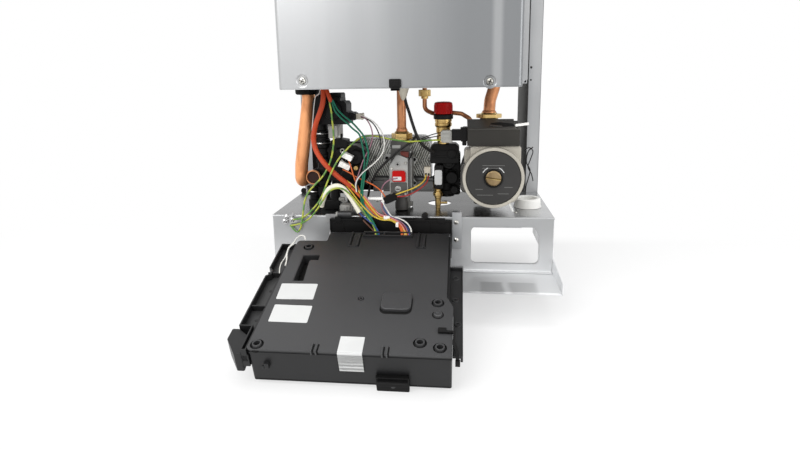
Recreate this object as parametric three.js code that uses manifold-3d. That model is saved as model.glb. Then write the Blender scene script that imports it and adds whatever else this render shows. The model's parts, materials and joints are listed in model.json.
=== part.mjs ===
// A wall-hung gas boiler with its outer case off and its control box hinged down.
// Lengths are in millimetres. While it is built, x = 0 is the middle of the width,
// y = 0 is the front of the base panels with the wall at +y, and z = 0 is the bottom shelf.
import * as THREE from "three";
import { mergeVertices } from "three/addons/utils/BufferGeometryUtils.js";
import Module from "manifold-3d";

// Driving sizes
const WIDTH = 400;
const FRAME_TOP = 700;
const WALL_Y = 205;
const ORIGIN_Z = 40;
const PLATE_TOP = 80;
const SHELF_DEPTH = 75;
const SHEET = 1.2;
const GAP = 0.4;
const PLAY = 0.5;
const OVER = 1;
const BITE = 1;

// Places across the width, as shares of half of it
const X_SHARES = { chamberLeft: -0.8625, chamberRight: 0.7875, coverLeft: -0.8025, coverRight: 0.7265,
  flow: -0.763, hearthLeft: -0.59,
  tap: -0.4725, flue: -0.185, fan: -0.035, gas: -0.065, hearthRight: 0.52, pump: 0.585 };
const HALF = WIDTH / 2;
const across = (share) => share * HALF;

// Rails, shelf and base
const RAIL = { deep: 33, width: 20, backWidth: 33, footRise: 6, hang: 3.6 };
const RAIL_FRONT_Y = WALL_Y - RAIL.deep;
const RAIL_HOLES = { inset: 16.6, radii: [1.8, 1.4, 1.8], fromTop: [415, 435, 140] };
const BASE_BACK_Y = RAIL_FRONT_Y - GAP;
const PAN = { gusset: 22, gussetFront: 15, lip: 30, channel: 22, wallLow: 8, wallTop: 70, wall: 2 };
const PAN_TOP = PLATE_TOP - SHEET - GAP;
const PANEL_BOTTOM = SHEET + GAP;
const PANEL = { leftEnd: 85.3, rightStart: 142, notch: 17, step: 8 };
const WINDOW = { left: 115, right: 19, bottom: 11.8, top: 67.2, radius: 8, chamfer: 7, chamferHigh: 14, corner: 3 };
const BRACKET = { high: 60, sheet: 2, slotOut: 90, slotLong: 28, slotHigh: 10, slotDown: 24, front: 4 };

// Sealed chamber
const CHAMBER = { bottom: 262, down: 10, front: 0, clear: 0.5 };
const CHAMBER_TOP = FRAME_TOP - CHAMBER.down;
const CHAMBER_LEFT = across(X_SHARES.chamberLeft);
const CHAMBER_RIGHT = across(X_SHARES.chamberRight);
const CHAMBER_BACK = RAIL_FRONT_Y - CHAMBER.clear;
const CHAMBER_HIGH = CHAMBER_TOP - CHAMBER.bottom;
const EAR = { inset: 8, low: 90, high: 35 };
const MOUTH = { side: 18, low: 6, high: 8, corner: 6 };
const NOTCH = { radius: 5, deep: 6 };
const COVER = { front: -58, drop: 3, rise: 1, radius: 6 };
const COVER_BOTTOM = CHAMBER.bottom - COVER.drop;
const COVER_TOP = CHAMBER_TOP + COVER.rise;
const SCREW = { shank: 2, shankLong: 6, head: 4.6, headHigh: 2.4, edge: 1.1, slot: 1, slotDeep: 0.8, taperShare: 0.6 };
const SCREW_SPOTS = { left: [31.5, 10.8], right: [39.6, 6.8] };
const DIMPLE = { radius: 8.5, depth: 1.6, land: 6, floorShare: 0.8 };
const CLIP = { middle: -10.5, width: 15, low: 0.6, high: 11, thick: 3, tongue: 5, slot: 4, frame: 3, lip: 2 };

// Inside the chamber
const BURNER = { front: -6, back: 104, low: 38, high: 94, tray: 30, wall: 2, floor: 6,
  barRise: 20, barLow: 4, barWidth: 9, barRound: 3, tube: 15, tubeLow: 6, tubeHigh: 22, foot: 18, footFront: 40,
  footBack: 80, inlet: 8 };
const BAR_COUNT = 12;
const FINS = { front: -4, back: 102, edge: 4, gap: 5.2, deep: 58, lowShare: 0.3925, highShare: 0.556 };
const FIN_COUNT = 22;
const FIN_PIPE = { flowShare: 0.514, returnShare: 0.314, tailShare: 0.35 };
const HOOD = { inset: 1, mouthLeft: 48, mouthRight: 92, mouthFront: 56, mouthBack: 98, hollow: 30, hollowSide: 26,
  hollowShare: 0.36 };
const FAN = { y: 55, down: 78, r: 50, wheel: 40, deep: 44, wall: 1.6, eye: 24, spoutIn: 10, spoutOut: 50,
  shaft: 3, shaftLong: 10, motor: 26, motorLong: 30, hub: 9, hubEnd: 14, bore: 3.4, disc: 5, discThick: 2, rim: 9,
  rimWidth: 5, blade: 9, bladeThick: 1.4 };
const BLADE_COUNT = 12;
const BLADE_LEAN = 0.6;
const FLUE = { y: 55, bore: 30, tube: 33, up: 52, down: 12, flange: 58, thick: 3, outer: 50.5, inner: 48, outerUp: 42,
  hole: 36 };

// Pipes, their nuts and the chamber's passages
const FLOW = { y: 50, r: 9.5, wall: 0.5, bend: 16, lean: 16.4, slant: 34, endGap: 1.5 };
const GAS = { y: 35, r: 6.5, bend: 9, start: 115.2, turn: 16 };
const RETURN = { y: 60, r: 8.5, bend: 8, offset: 1.6, foot: 5.6, low: 139.6, knee: 146, high: 22 };
const THIN = { y: 55, r: 3.2, bend: 8, left: 98.2, rise: 13 };
const THIN_RUN = [[-87, 7, 140], [-59, 11, 140.5], [-45, 9, 139], [-33, 5, 132], [-29, 5, 120], [-29, 5, 98.3]];
const PASSAGE = { flow: 1.5, thin: 1 };
const GROMMET = { r: 17.3, high: 12.1, shift: 0.8, bore: 0.3 };
const NUTS = { gas: [15, 104.8, 114.8], pump: [17.6, 132.8, 139.2], thin: [9.2, 165, 174.5] };

// Gas valve and plate heat exchanger
const VALVE = { left: 16, right: 12.2, front: 18, back: 75.5, low: 25, high: 104.3, round: 3, rib: 4, ribOut: 1.6,
  knob: 10, knobUp: 85, nose: 7, noseUp: 36, knobOut: 5, noseOut: 7, shift: 3, foot: 9, nut: 13, nutHigh: 6.8 };
const VALVE_RIBS = [32, 78, 92];
const COIL = { left: 14, right: 7.6, low: 47, high: 63, out: 9, round: 2, neck: 6, neckHigh: 70, neckTop: 74 };
const PLATES = { left: 59.6, right: 90, low: 30, high: 104, front: 79, pitch: 3.6, lip: 1.4, port: 9, portIn: 17,
  radius: 14, wave: 1.4, waveWidth: 4, waveLean: 15, edge: 9, fieldX: 8, fieldZ: 6, portOut: 3 };
const PLATE_COUNT = 9;
const WAVE_COUNT = 8;
const PLATE_SHARES = { rim: 0.55, inset: 0.45, overlap: 1.02 };

// Left hydraulic group, from the middle of its column
const GROUP = { x: 19.1, y: 52, profile: [[8, 0.4], [8, 36], [10.5, 38], [10.5, 60], [9, 62], [9, 90], [11, 92],
  [11, 116], [8.6, 118], [8.6, 127.8]], elbow: 9.6, elbowOut: 10.8, elbowUp: 50, elbowFront: 20, arm: 8, armY: 66,
  linkLow: 6, linkFront: 8, linkBack: 4, side: 12, sideLeft: 4, sideRight: 48, sideLow: 44, sideHigh: 100,
  sideFront: 58, sideBack: 74, portGap: 3.4 };
const HOOP = { r: 11.4, thick: 1.8, high: 5, upper: 110.4, lower: 96, ear: 1, earBack: 5.6 };
const OUTLET = { x: 0.6, y: 62, head: 12.4, headLow: 17, headHigh: 31, stem: 7, stemDown: 20, seat: 10, seatHigh: 10 };
const ACTUATOR = { front: 16, back: 56, round: 2.4, outline: [[-3, 128.2], [46.8, 128.2], [46.8, 145], [44, 145],
  [44, 156.3], [41.6, 160.6], [36, 160.6], [36, 171.9], [4, 171.9], [-3, 162]], dome: 13, domeX: 25, domeUp: 152,
  domeOut: 5, lugLeft: 46, lugRight: 56, lugLow: 134.4, lugHigh: 144.6, lugFront: 4, lugBack: 10,
  stem: 8.6, stemX: 24.5, stemY: 35, stemLow: 115 };

// Flow sensor and its plugs
const SENSOR = { front: 30, back: 57.6, round: 3, outline: [[24, 41], [63, 41], [63, 70], [67, 78], [67, 106],
  [41.6, 114], [33, 114], [33, 96], [24, 88]], eye: 12, eyeX: 50.5, eyeUp: 92, eyeOut: 6, port: 9, portX: 39.5,
  portUp: 53, portOut: 8 };
const PLUG = { long: 16, deep: 11, high: 8, upper: [43.5, 18.1, 83], lower: [38.5, 24.1, 68.5] };
const PLUG_LEAN = { upper: 0.35, lower: 0.3 };

// Right hydraulic group, from the pump's middle
const RETURN_GROUP = { x: -67, y: 74, profile: [[12, 15], [12, 24], [15, 26], [15, 58], [12.5, 60], [12.5, 86],
  [9, 88], [9, 97.4]], front: 62, back: 90, outline: [[-81, 18], [-46, 18], [-46, 80], [-57, 90], [-81, 90]],
  round: 3, top: [[-90, -48], [40, 66], [69, 97.5]], stub: 5, stubX: -79, stubY: [58.9, 66], stubUp: 34, eye: 10,
  eyeX: -63, eyeUp: 70, eyeFront: 44, side: 8, sideY: 72, sideUp: 38, sideLeft: 87 };
const SAFETY = { x: -71, y: 45, hex: 15.5, hexLow: 121.4, hexHigh: 132.6, body: 9.4, bodyLow: 98, spout: 6, spoutUp: 106,
  spoutLong: 14, side: 5, sideY: 50, sideUp: 108, sideLong: 15.2, ring: 14, ringLow: 133, ringHigh: 139.8, pin: 3.6,
  pinHigh: 148, cap: 13, capLow: 140.6, capHigh: 157.5, capEdge: 2, grip: 1.5, gripOut: 0.4, gripTop: 3, bore: 4.6,
  boreHigh: 149 };
const GRIP_COUNT = 12;
const SWITCH = { x: -50.4, up: 110, r: 10.6, front: 22, back: 42, tail: 5, tailBack: 58, left: 7.6, right: 8.4,
  plugFront: 12, plugBack: 23, low: 6, high: 6 };
const DRAIN = { x: -79, y: 52, stem: 4.4, hole: 13.5, down: 20, top: 42, hex: 8, hexLow: 16, hexHigh: 28, head: 6.4,
  headHigh: 40 };

// Pump, from the middle of its end face
const PUMP = { x: -1.6, up: 55.8, front: -4, r: 41.4, ringEdge: 1.4, face: 37.2, faceDeep: 3, faceStart: 0.6, back: 23.4,
  knob: 10.6, knobOut: 3, knobBack: 2.4, slot: 3, slotDeep: 1.6 };
const PUMP_RIM = { out: 1.6, inner: 2.4, outer: 2.8, step: 1.2, low: 0.2, back: 2.6 };
const PUMP_SHARES = { inner: 0.45, outer: 0.5 };
const HOUSING = { r: 44, front: 56, back: 88, left: 33, right: 36, low: 39, high: 98.6, blockFront: 23.8, round: 6,
  spike: 4.5, spikeX: -29, spikeLow: 70, spikeHigh: 97.6, ear: [[-45, -27], [32, 70]], earFront: 30, earRound: 5,
  neck: 14, neckLow: 90, neckHigh: 132.4, foot: 13, footX: -13, footY: 70, footLow: 4, footHigh: 20 };
const TERMINAL = { left: 37, right: 33.5, front: 5, back: 41, low: 99, edge: 122, top: 132, round: 2,
  pit: [-5, 28], pitFront: 16, pitBack: 33, pitDeep: 5, cornerIn: 6 };

// Collar and filling tap on the plate
const COLLAR = { inset: 29.2, y: 67.9, low: 20, top: 18.5, high: 13, base: 4, bore: 11.4, sleeve: 13.2, drop: 9,
  hole: 14 };
const TAP = { y: 20, r: 9.5, high: 13, stem: 4, stemRise: 5, hole: 5.2, drop: 24, block: 9, blockBack: 40,
  blockLow: 34, blockHigh: 18, grip: 1.6, gripOut: 0.5, edge: 3, cap: 2, socket: 7 };
const TAP_GRIPS = 8;
const PLATE_HOLES = { flow: 9, gas: 12, gasY: 60, flowY: 62 };

// Control box, in its own frame: x as above, u from its hinge side outwards, w up from the lid
const SLOPE = 16 * Math.PI / 180;
const BOX_AT = { y: -27, z: 63 };
const HINGE = { u: 13.6, w: -22.1, pin: 5, hole: 5.9, reach: 5 };
const BOX = { length: 225, depth: 44, wall: 2.2, lid: 2, floor: 2.4, inset: 0.6, left: 52, leftNear: 92, right: 144,
  rightFar: 136.5, narrow: 22, jogStart: 133, jogEnd: 150, corner: 5, round: 4, foot: 1 };
const TRAY = { out: 21, start: 29, past: 2, jog: 90, jogIn: 5, jogLow: 6, jogHigh: 10, wall: 1.8, deep: 17,
  split: 71, pit: 34, step: 14, stepEnd: 36, lip: 1, tie: 2 };
const BAR = { out: 5.6, right: 1.4, bottom: 57, top: 77, back: -3.6, front: -6.5, arm: 2, nose: 6, stem: 1, rib: 3,
  round: 4, corner: 1, seatBack: 12, seat: 2 };
const SEAT_SHARES = [-0.5, 0.2];
const STRIP = { in: 2.4, gap: 1.4, wide: 17, bottom: 34, top: 87, thick: 1.5, hook: 9 };
const POST = { r: 4, ledge: 3.4, ledgeTop: -24.4, left: 10, right: 8, near: 40, far: 15, ledgeIn: 28, ledgeRight: 20,
  ledgeNear: 44, ledgeFar: 29 };
const HOOK = { left: 17, right: 22, out: 4, low: -34, high: -20 };
const KNOB = { r: 13, high: 11, stem: 4, hole: 4.6, reach: 12, grip: 4, gripLong: 24, gripHigh: 4, u: 120 };
const BOX_SHARES = { ridgeLeft: 0.29, ridgeRight: 0.7, entries: [0.354, 0.598], knobs: [0.11, 0.537],
  hole: 0.4024, pad: 0.657, ribs: [0.189, 0.256, 0.744, 0.793], farRibs: [0.177, 0.622], foot: [0.57, 0.78],
  footPad: [0.598, 0.75] };
const RIDGE = { near: 1.2, far: 11, high: 4, hole: 3.2, u: 6.2 };
const RIB = { wide: 4, near: 1, far: 35, high: 1.6, end: 20, endGap: 1, farWide: 3 };
const PAD = { half: 20, near: 129.2, far: 165.3, high: 1.4, round: 6 };
const BOSS = { r: 5, high: 1.2, hole: 2.2, near: 37.5, left: 18.7, farLeft: 9.2, farGap: 7.1, jogIn: 9.7,
  jogU: 144, farRight: 33.2, farRightGap: 17.5, corner: 12.6, cornerGap: 11.6, holeU: 140 };
const POCKET = { left: 15.5, deep: 1.2, outline: [[0, 56.2], [23.5, 55], [23.8, 66.6], [12.5, 67], [15.5, 111],
  [0.9, 111.2]] };
const FLANGE = { out: 18.4, near: 75, end: 3, low: -14, high: -11, web: 2, webLow: -30, webEnd: 133,
  start: 132 };
const MARK = { r: 3, low: -14.5, high: -12.2, in: 9.2, farIn: 12.6, us: [91.4, 132.7], end: 53.8 };
const FOOT = { out: 5, bite: 0.2, low: -47.7, high: -27.7, padOut: 8, padIn: 4, padLow: -36, padHigh: -31 };
const LATCH = { high: 4, round: 1, outline: [[-8, -39], [1, -39], [1, -35], [10.6, -35], [10.6, -18], [14.4, -3],
  [14.4, 9], [10.8, 9], [10.8, -3], [7.8, -15], [7.8, -32], [-8, -32]] };
const BOARD = { left: 18, right: 12, near: 34, far: 19, low: -24, thick: 1.6, bite: 0.4 };
const BOARD_PART_SHARES = [[0.11, 0.15, 0.195, 0.15], [0.4, 0.21, 0.115, 0.115], [0.63, 0.15, 0.16, 0.105],
  [0.8, 0.5, 0.115, 0.255], [0.17, 0.56, 0.23, 0.07], [0.23, 0.79, 0.3, 0.115], [0.63, 0.79, 0.14, 0.14]];
const BOARD_PART_HIGH = [16, 12, 9, 14, 10, 7, 5];

// Sides of round bodies
const FINE = 24;
const ROUND = 16;
const SMALL = 12;

const wasm = await Module();
wasm.setup();

// Materials, one colour and finish each
const COLOURS = {
  steel: [0xb9bcbd, 0.35, 0.9],
  darkSteel: [0x75787b, 0.35, 0.9],
  brightSteel: [0xd8dadb, 0.2, 1],
  copper: [0xb87345, 0.3, 1],
  brass: [0xc8a055, 0.3, 1],
  aluminium: [0xb4b6b8, 0.5, 0.9],
  black: [0x1b1c1e, 0.5, 0],
  charcoal: [0x2e3136, 0.5, 0],
  greyPlastic: [0x9da0a3, 0.5, 0],
  whitePlastic: [0xe9e8e2, 0.5, 0],
  red: [0xb3201f, 0.4, 0],
  board: [0x2f6b46, 0.5, 0],
};

// Geometry helpers
function solid(geometry) {
  const plain = geometry.index ? geometry.toNonIndexed() : geometry.clone();
  plain.deleteAttribute("normal");
  plain.deleteAttribute("uv");
  const merged = mergeVertices(plain, 1e-3);
  const make = (triVerts) => new wasm.Manifold(new wasm.Mesh({
    numProp: 3,
    vertProperties: merged.attributes.position.array,
    triVerts,
  }));
  const tris = new Uint32Array(merged.index.array);
  const made = make(tris);
  if (made.volume() > 0) return made;
  for (let i = 0; i < tris.length; i += 3) {
    [tris[i + 1], tris[i + 2]] = [tris[i + 2], tris[i + 1]];
  }
  return make(tris);
}
const join = (...all) => all.flat().reduce((a, b) => a.add(b));
const cut = (a, ...rest) => rest.flat().reduce((whole, b) => whole.subtract(b), a);

function slab(x, y, z) {
  const g = new THREE.BoxGeometry(x[1] - x[0], y[1] - y[0], z[1] - z[0]);
  g.translate((x[0] + x[1]) / 2, (y[0] + y[1]) / 2, (z[0] + z[1]) / 2);
  return solid(g);
}

// A flat outline drawn out along an axis: z takes [x, y], y takes [x, z], x takes [y, z].
function prism(outline, axis, from, to, holes = []) {
  const shape = new THREE.Shape(outline.map(([a, b]) => new THREE.Vector2(a, b)));
  for (const h of holes) {
    shape.holes.push(new THREE.Path(h.map(([a, b]) => new THREE.Vector2(a, b))));
  }
  const g = new THREE.ExtrudeGeometry(shape, { depth: to - from, bevelEnabled: false, steps: 1 });
  const p = g.attributes.position;
  for (let i = 0; i < p.count; i++) {
    const a = p.getX(i);
    const b = p.getY(i);
    const t = from + p.getZ(i);
    if (axis === "z") p.setXYZ(i, a, b, t);
    if (axis === "y") p.setXYZ(i, a, t, b);
    if (axis === "x") p.setXYZ(i, t, a, b);
  }
  return solid(g);
}

const rect = (a, b) => [[a[0], b[0]], [a[1], b[0]], [a[1], b[1]], [a[0], b[1]]];

function rounded(outline, radius, steps = 3) {
  const halfShare = 0.49;
  const out = [];
  outline.forEach((p, i) => {
    const before = outline[(i + outline.length - 1) % outline.length];
    const after = outline[(i + 1) % outline.length];
    const r = Array.isArray(radius) ? radius[i] : radius;
    const corner = new THREE.Vector2(...p);
    const a = new THREE.Vector2(...before).sub(corner);
    const b = new THREE.Vector2(...after).sub(corner);
    const reach = Math.min(r, a.length() * halfShare, b.length() * halfShare);
    if (reach <= 0) {
      out.push(p);
      return;
    }
    a.setLength(reach).add(corner);
    b.setLength(reach).add(corner);
    const bend = new THREE.QuadraticBezierCurve(a, corner, b);
    for (const q of bend.getPoints(steps)) out.push([q.x, q.y]);
  });
  return out;
}

function ring(centre, radius, sides = ROUND) {
  return Array.from({ length: sides }, (_, i) => {
    const t = i / sides * Math.PI * 2;
    return [centre[0] + radius * Math.cos(t), centre[1] + radius * Math.sin(t)];
  });
}

// A round body turned about an axis through at; the profile is [radius, distance along].
function turned(profile, axis, at, sides = FINE) {
  const g = new THREE.LatheGeometry(profile.map(([r, t]) => new THREE.Vector2(r, t)), sides);
  if (axis === "z") g.rotateX(Math.PI / 2);
  if (axis === "x") g.rotateZ(-Math.PI / 2);
  g.translate(...at);
  return solid(g);
}
const rod = (r, axis, at, from, to, sides = ROUND) =>
  turned([[0, from], [r, from], [r, to], [0, to]], axis, at, sides);
const tubeRing = (inner, outer, axis, at, from, to, sides = FINE) =>
  turned([[inner, from], [outer, from], [outer, to], [inner, to], [inner, from]], axis, at, sides);
const hexNut = (r, at, from, to) => prism(ring(at, r, 6), "z", from, to);

// A round pipe through points, with its corners bent.
function bentPath(points, bend) {
  const halfShare = 0.48;
  const path = new THREE.CurvePath();
  const all = points.map((p) => new THREE.Vector3(...p));
  let from = all[0];
  for (let i = 1; i < all.length - 1; i++) {
    const into = all[i - 1].clone().sub(all[i]);
    const away = all[i + 1].clone().sub(all[i]);
    const reach = Math.min(bend, into.length() * halfShare, away.length() * halfShare);
    const a = all[i].clone().add(into.setLength(reach));
    const b = all[i].clone().add(away.setLength(reach));
    path.add(new THREE.LineCurve3(from, a));
    path.add(new THREE.QuadraticBezierCurve3(a, all[i], b));
    from = b;
  }
  path.add(new THREE.LineCurve3(from, all[all.length - 1]));
  return path;
}
function pipe(points, radius, bend, steps) {
  const shape = new THREE.Shape(ring([0, 0], radius, SMALL).map((q) => new THREE.Vector2(...q)));
  return solid(new THREE.ExtrudeGeometry(shape, {
    steps,
    bevelEnabled: false,
    extrudePath: bentPath(points, bend),
  }));
}

const root = new THREE.Group();
const box = new THREE.Group();
root.add(box);
function piece(name, made, colour, parent = root) {
  const m = made.getMesh();
  const g = new THREE.BufferGeometry();
  g.setAttribute("position", new THREE.BufferAttribute(new Float32Array(m.vertProperties), 3));
  g.setIndex(new THREE.BufferAttribute(new Uint32Array(m.triVerts), 1));
  g.computeVertexNormals();
  const [color, roughness, metalness] = COLOURS[colour];
  const mesh = new THREE.Mesh(g, new THREE.MeshStandardMaterial({ color, roughness, metalness }));
  mesh.name = name;
  parent.add(mesh);
  return mesh;
}

// Where the pipes and fittings stand
const up = (rise) => PLATE_TOP + rise;
const FLOW_AT = [across(X_SHARES.flow), FLOW.y];
const GROUP_AT = [FLOW_AT[0] + GROUP.x, GROUP.y];
const ELBOW_AT = [GROUP_AT[0] - GROUP.elbowOut, up(GROUP.elbowUp)];
const OUTLET_AT = [FLOW_AT[0] + OUTLET.x, OUTLET.y];
const GAS_AT = [across(X_SHARES.gas), GAS.y];
const PUMP_AT = [across(X_SHARES.pump), up(PUMP.up)];
const RETURN_AT = [PUMP_AT[0] + RETURN.offset, RETURN.y];
const SAFETY_AT = [PUMP_AT[0] + SAFETY.x, SAFETY.y];
const DRAIN_AT = [PUMP_AT[0] + DRAIN.x, DRAIN.y];
const THIN_AT = [PUMP_AT[0] - THIN.left, THIN.y];
const FLUE_AT = [across(X_SHARES.flue), FLUE.y];
const COLLAR_AT = [HALF - COLLAR.inset, COLLAR.y];
const TAP_AT = [across(X_SHARES.tap), TAP.y];

// Shelf with its side walls and its rear channel, open below
{
  const wallX = HALF - RAIL.width - GAP;
  const sideShape = [[-SHELF_DEPTH, 0], [BASE_BACK_Y, 0], [BASE_BACK_Y, PAN_TOP],
    [GAP + SHEET, PAN_TOP], [GAP + SHEET, PAN.gusset], [-SHELF_DEPTH, PAN.gussetFront]];
  const side = (x) => prism(sideShape, "x", x, x + SHEET);
  const shelf = slab([-HALF, HALF], [-SHELF_DEPTH, PAN.lip], [0, SHEET]);
  const channel = slab([-HALF, HALF], [BASE_BACK_Y - PAN.channel, BASE_BACK_Y],
    [PAN.wallTop - SHEET, PAN.wallTop]);
  const bridge = slab([-wallX, wallX], [BASE_BACK_Y - BITE, WALL_Y], [PAN.wallTop - SHEET, PAN.wallTop]);
  const back = slab([-wallX, wallX], [WALL_Y - PAN.wall, WALL_Y], [PAN.wallLow, PAN.wallTop]);
  piece("base_pan", join(shelf, side(-HALF), side(HALF - SHEET), channel, bridge, back), "steel");
}

// Top plate of the base, with openings for what passes through it
{
  const holes = [ring(COLLAR_AT, COLLAR.hole), ring(DRAIN_AT, DRAIN.hole), ring(TAP_AT, TAP.hole),
    ring([OUTLET_AT[0], PLATE_HOLES.flowY], PLATE_HOLES.flow),
    ring([GAS_AT[0], PLATE_HOLES.gasY], PLATE_HOLES.gas)];
  const inner = HALF - GAP;
  piece("base_plate", prism(rect([-inner, inner], [SHEET + GAP, BASE_BACK_Y]), "z",
    PLATE_TOP - SHEET, PLATE_TOP, holes), "darkSteel");
}

// Front panels of the base
const PANEL_EDGE = HALF - SHEET - GAP;
const PANEL_START = HALF - PANEL.rightStart;
{
  piece("front_panel_left", slab([-PANEL_EDGE, PANEL.leftEnd - HALF], [0, SHEET], [PANEL_BOTTOM, PLATE_TOP]),
    "steel");
  const w = WINDOW;
  const left = HALF - w.left;
  const right = HALF - w.right;
  const hole = rounded([[left, w.bottom], [right, w.bottom], [right, w.top - w.chamferHigh],
    [right - w.chamfer, w.top], [left, w.top]], [w.radius, w.radius, w.corner, w.corner, w.radius]);
  const notch = PANEL_START + PANEL.notch;
  const edge = [[PANEL_START, PANEL.step], [notch, PANEL.step], [notch, PANEL_BOTTOM],
    [PANEL_EDGE, PANEL_BOTTOM], [PANEL_EDGE, PLATE_TOP], [PANEL_START, PLATE_TOP]];
  piece("front_panel_right", prism(edge, "y", 0, SHEET, [hole]), "steel");
}

// Crossbar with the two arms and pins that carry the control box
const BOX_LEFT = BOX.left - HALF;
const BOX_NEAR = BOX.leftNear - HALF;
const BOX_RIGHT = HALF - BOX.right;
const BOX_FAR = HALF - BOX.rightFar;
const boxAcross = (share) => BOX_NEAR + share * (BOX_RIGHT - BOX_NEAR);
const hingeY = BOX_AT.y - HINGE.u * Math.cos(SLOPE) - HINGE.w * Math.sin(SLOPE);
const hingeZ = BOX_AT.z - HINGE.u * Math.sin(SLOPE) + HINGE.w * Math.cos(SLOPE);
{
  const b = BAR;
  const left = BOX_NEAR - b.out;
  const right = BOX_RIGHT + b.right;
  const stem = b.front - b.stem;
  const armShape = rounded([[b.back, hingeZ - b.nose], [b.back, b.top], [stem, b.top],
    [stem, hingeZ + b.nose], [hingeY - b.nose, hingeZ + b.nose], [hingeY - b.nose, hingeZ - b.nose]],
  [b.corner, b.corner, b.corner, b.corner, b.round, b.round]);
  const arm = (x) => prism(armShape, "x", x, x + b.arm);
  const pin = (from, to) => rod(HINGE.pin / 2, "x", [0, hingeY, hingeZ], from, to, SMALL);
  const bar = slab([left, right], [b.front, b.back], [b.bottom, b.top]);
  const rib = slab([left, right], [b.front - BITE, b.back], [b.top - b.rib, b.top]);
  const seatTop = PLATE_TOP - SHEET - GAP;
  const seat = slab(SEAT_SHARES.map(across), [b.back - BITE, b.seatBack], [seatTop - b.seat, seatTop]);
  piece("hinge_crossbar", join(bar, rib, seat, arm(left), arm(right),
    pin(left, left + b.arm + HINGE.reach), pin(right - HINGE.reach, right + b.arm)), "black");
  const s = STRIP;
  const from = BOX_RIGHT + s.in + s.gap;
  const to = BOX_RIGHT + s.wide;
  piece("hinge_bracket", join(slab([from, to], [-GAP - s.thick, -GAP], [s.bottom, s.top]),
    slab([from, to], [-GAP - s.thick, s.hook], [s.top - s.thick, s.top])), "steel");
}

// Rear rails that stand on the wall, with the bracket between them
{
  const r = RAIL;
  const holes = RAIL_HOLES.radii.map((radius, i) => [radius, FRAME_TOP - RAIL_HOLES.fromTop[i]]);
  const rail = (sign) => {
    const x = (a, b) => (sign > 0 ? [a, b] : [-b, -a]);
    const face = prism(rect(x(HALF - r.width, HALF), [PLATE_TOP - r.hang, FRAME_TOP]), "y",
      RAIL_FRONT_Y, RAIL_FRONT_Y + SHEET,
      holes.map(([radius, z]) => ring([sign * (HALF - RAIL_HOLES.inset), z], radius, SMALL)));
    const side = slab(x(HALF - SHEET, HALF), [RAIL_FRONT_Y, WALL_Y], [0, FRAME_TOP]);
    const foot = slab(x(HALF - r.width, HALF), [RAIL_FRONT_Y, RAIL_FRONT_Y + SHEET], [r.footRise, PLATE_TOP]);
    const back = slab(x(HALF - r.backWidth, HALF), [WALL_Y - SHEET, WALL_Y], [PAN.wallTop + GAP, FRAME_TOP]);
    const backLow = slab(x(HALF - r.width, HALF), [WALL_Y - SHEET, WALL_Y],
      [r.footRise, PAN.wallTop + GAP + BITE]);
    return join(face, side, foot, back, backLow);
  };
  piece("rail_left", rail(-1), "steel");
  piece("rail_right", rail(1), "steel");
  const k = BRACKET;
  const inner = HALF - r.backWidth - GAP;
  const low = FRAME_TOP - k.high;
  const slots = [-1, 1].map((sign) => {
    const x = sign * (HALF - k.slotOut);
    const z = FRAME_TOP - k.slotDown;
    return rounded(rect([x - k.slotLong / 2, x + k.slotLong / 2], [z - k.slotHigh / 2, z + k.slotHigh / 2]),
      k.slotHigh / 2);
  });
  piece("wall_bracket", join(
    prism(rect([-inner, inner], [low, FRAME_TOP]), "y", WALL_Y - k.sheet, WALL_Y, slots),
    slab([-inner, inner], [RAIL_FRONT_Y + k.front, WALL_Y], [low, low + k.sheet])), "steel");
}

// Sealed chamber: an open-fronted sheet box with passages through its floor
{
  const c = CHAMBER;
  const m = MOUTH;
  const x = [CHAMBER_LEFT, CHAMBER_RIGHT];
  const shell = cut(slab(x, [c.front, CHAMBER_BACK], [c.bottom, CHAMBER_TOP]),
    slab([x[0] + SHEET, x[1] - SHEET], [c.front + SHEET, CHAMBER_BACK - SHEET],
      [c.bottom + SHEET, CHAMBER_TOP - SHEET]),
    prism(rounded(rect([x[0] + m.side, x[1] - m.side], [c.bottom + m.low, CHAMBER_TOP - m.high]), m.corner), "y",
      c.front - OVER, c.front + SHEET + OVER));
  const bores = [[FLOW_AT, FLOW.r + PASSAGE.flow], [GAS_AT, GAS.r + PASSAGE.flow],
    [RETURN_AT, RETURN.r + PASSAGE.flow], [THIN_AT, THIN.r + PASSAGE.thin]]
    .map(([at, r]) => rod(r, "z", [...at, 0], c.bottom - OVER, c.bottom + SHEET + OVER));
  const flueBore = rod(FLUE.hole, "z", [...FLUE_AT, 0], CHAMBER_TOP - SHEET - OVER, CHAMBER_TOP + OVER);
  const reach = HALF - EAR.inset;
  const ears = slab([-reach, reach], [CHAMBER_BACK - SHEET, CHAMBER_BACK],
    [CHAMBER_TOP - EAR.low, CHAMBER_TOP - EAR.high]);
  const notches = x.map((side) =>
    rod(NOTCH.radius, "y", [side, 0, c.bottom], c.front - OVER, c.front + NOTCH.deep, SMALL));
  piece("chamber_body", cut(join(shell, ears), ...bores, ...notches, flueBore), "steel");
}

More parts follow.
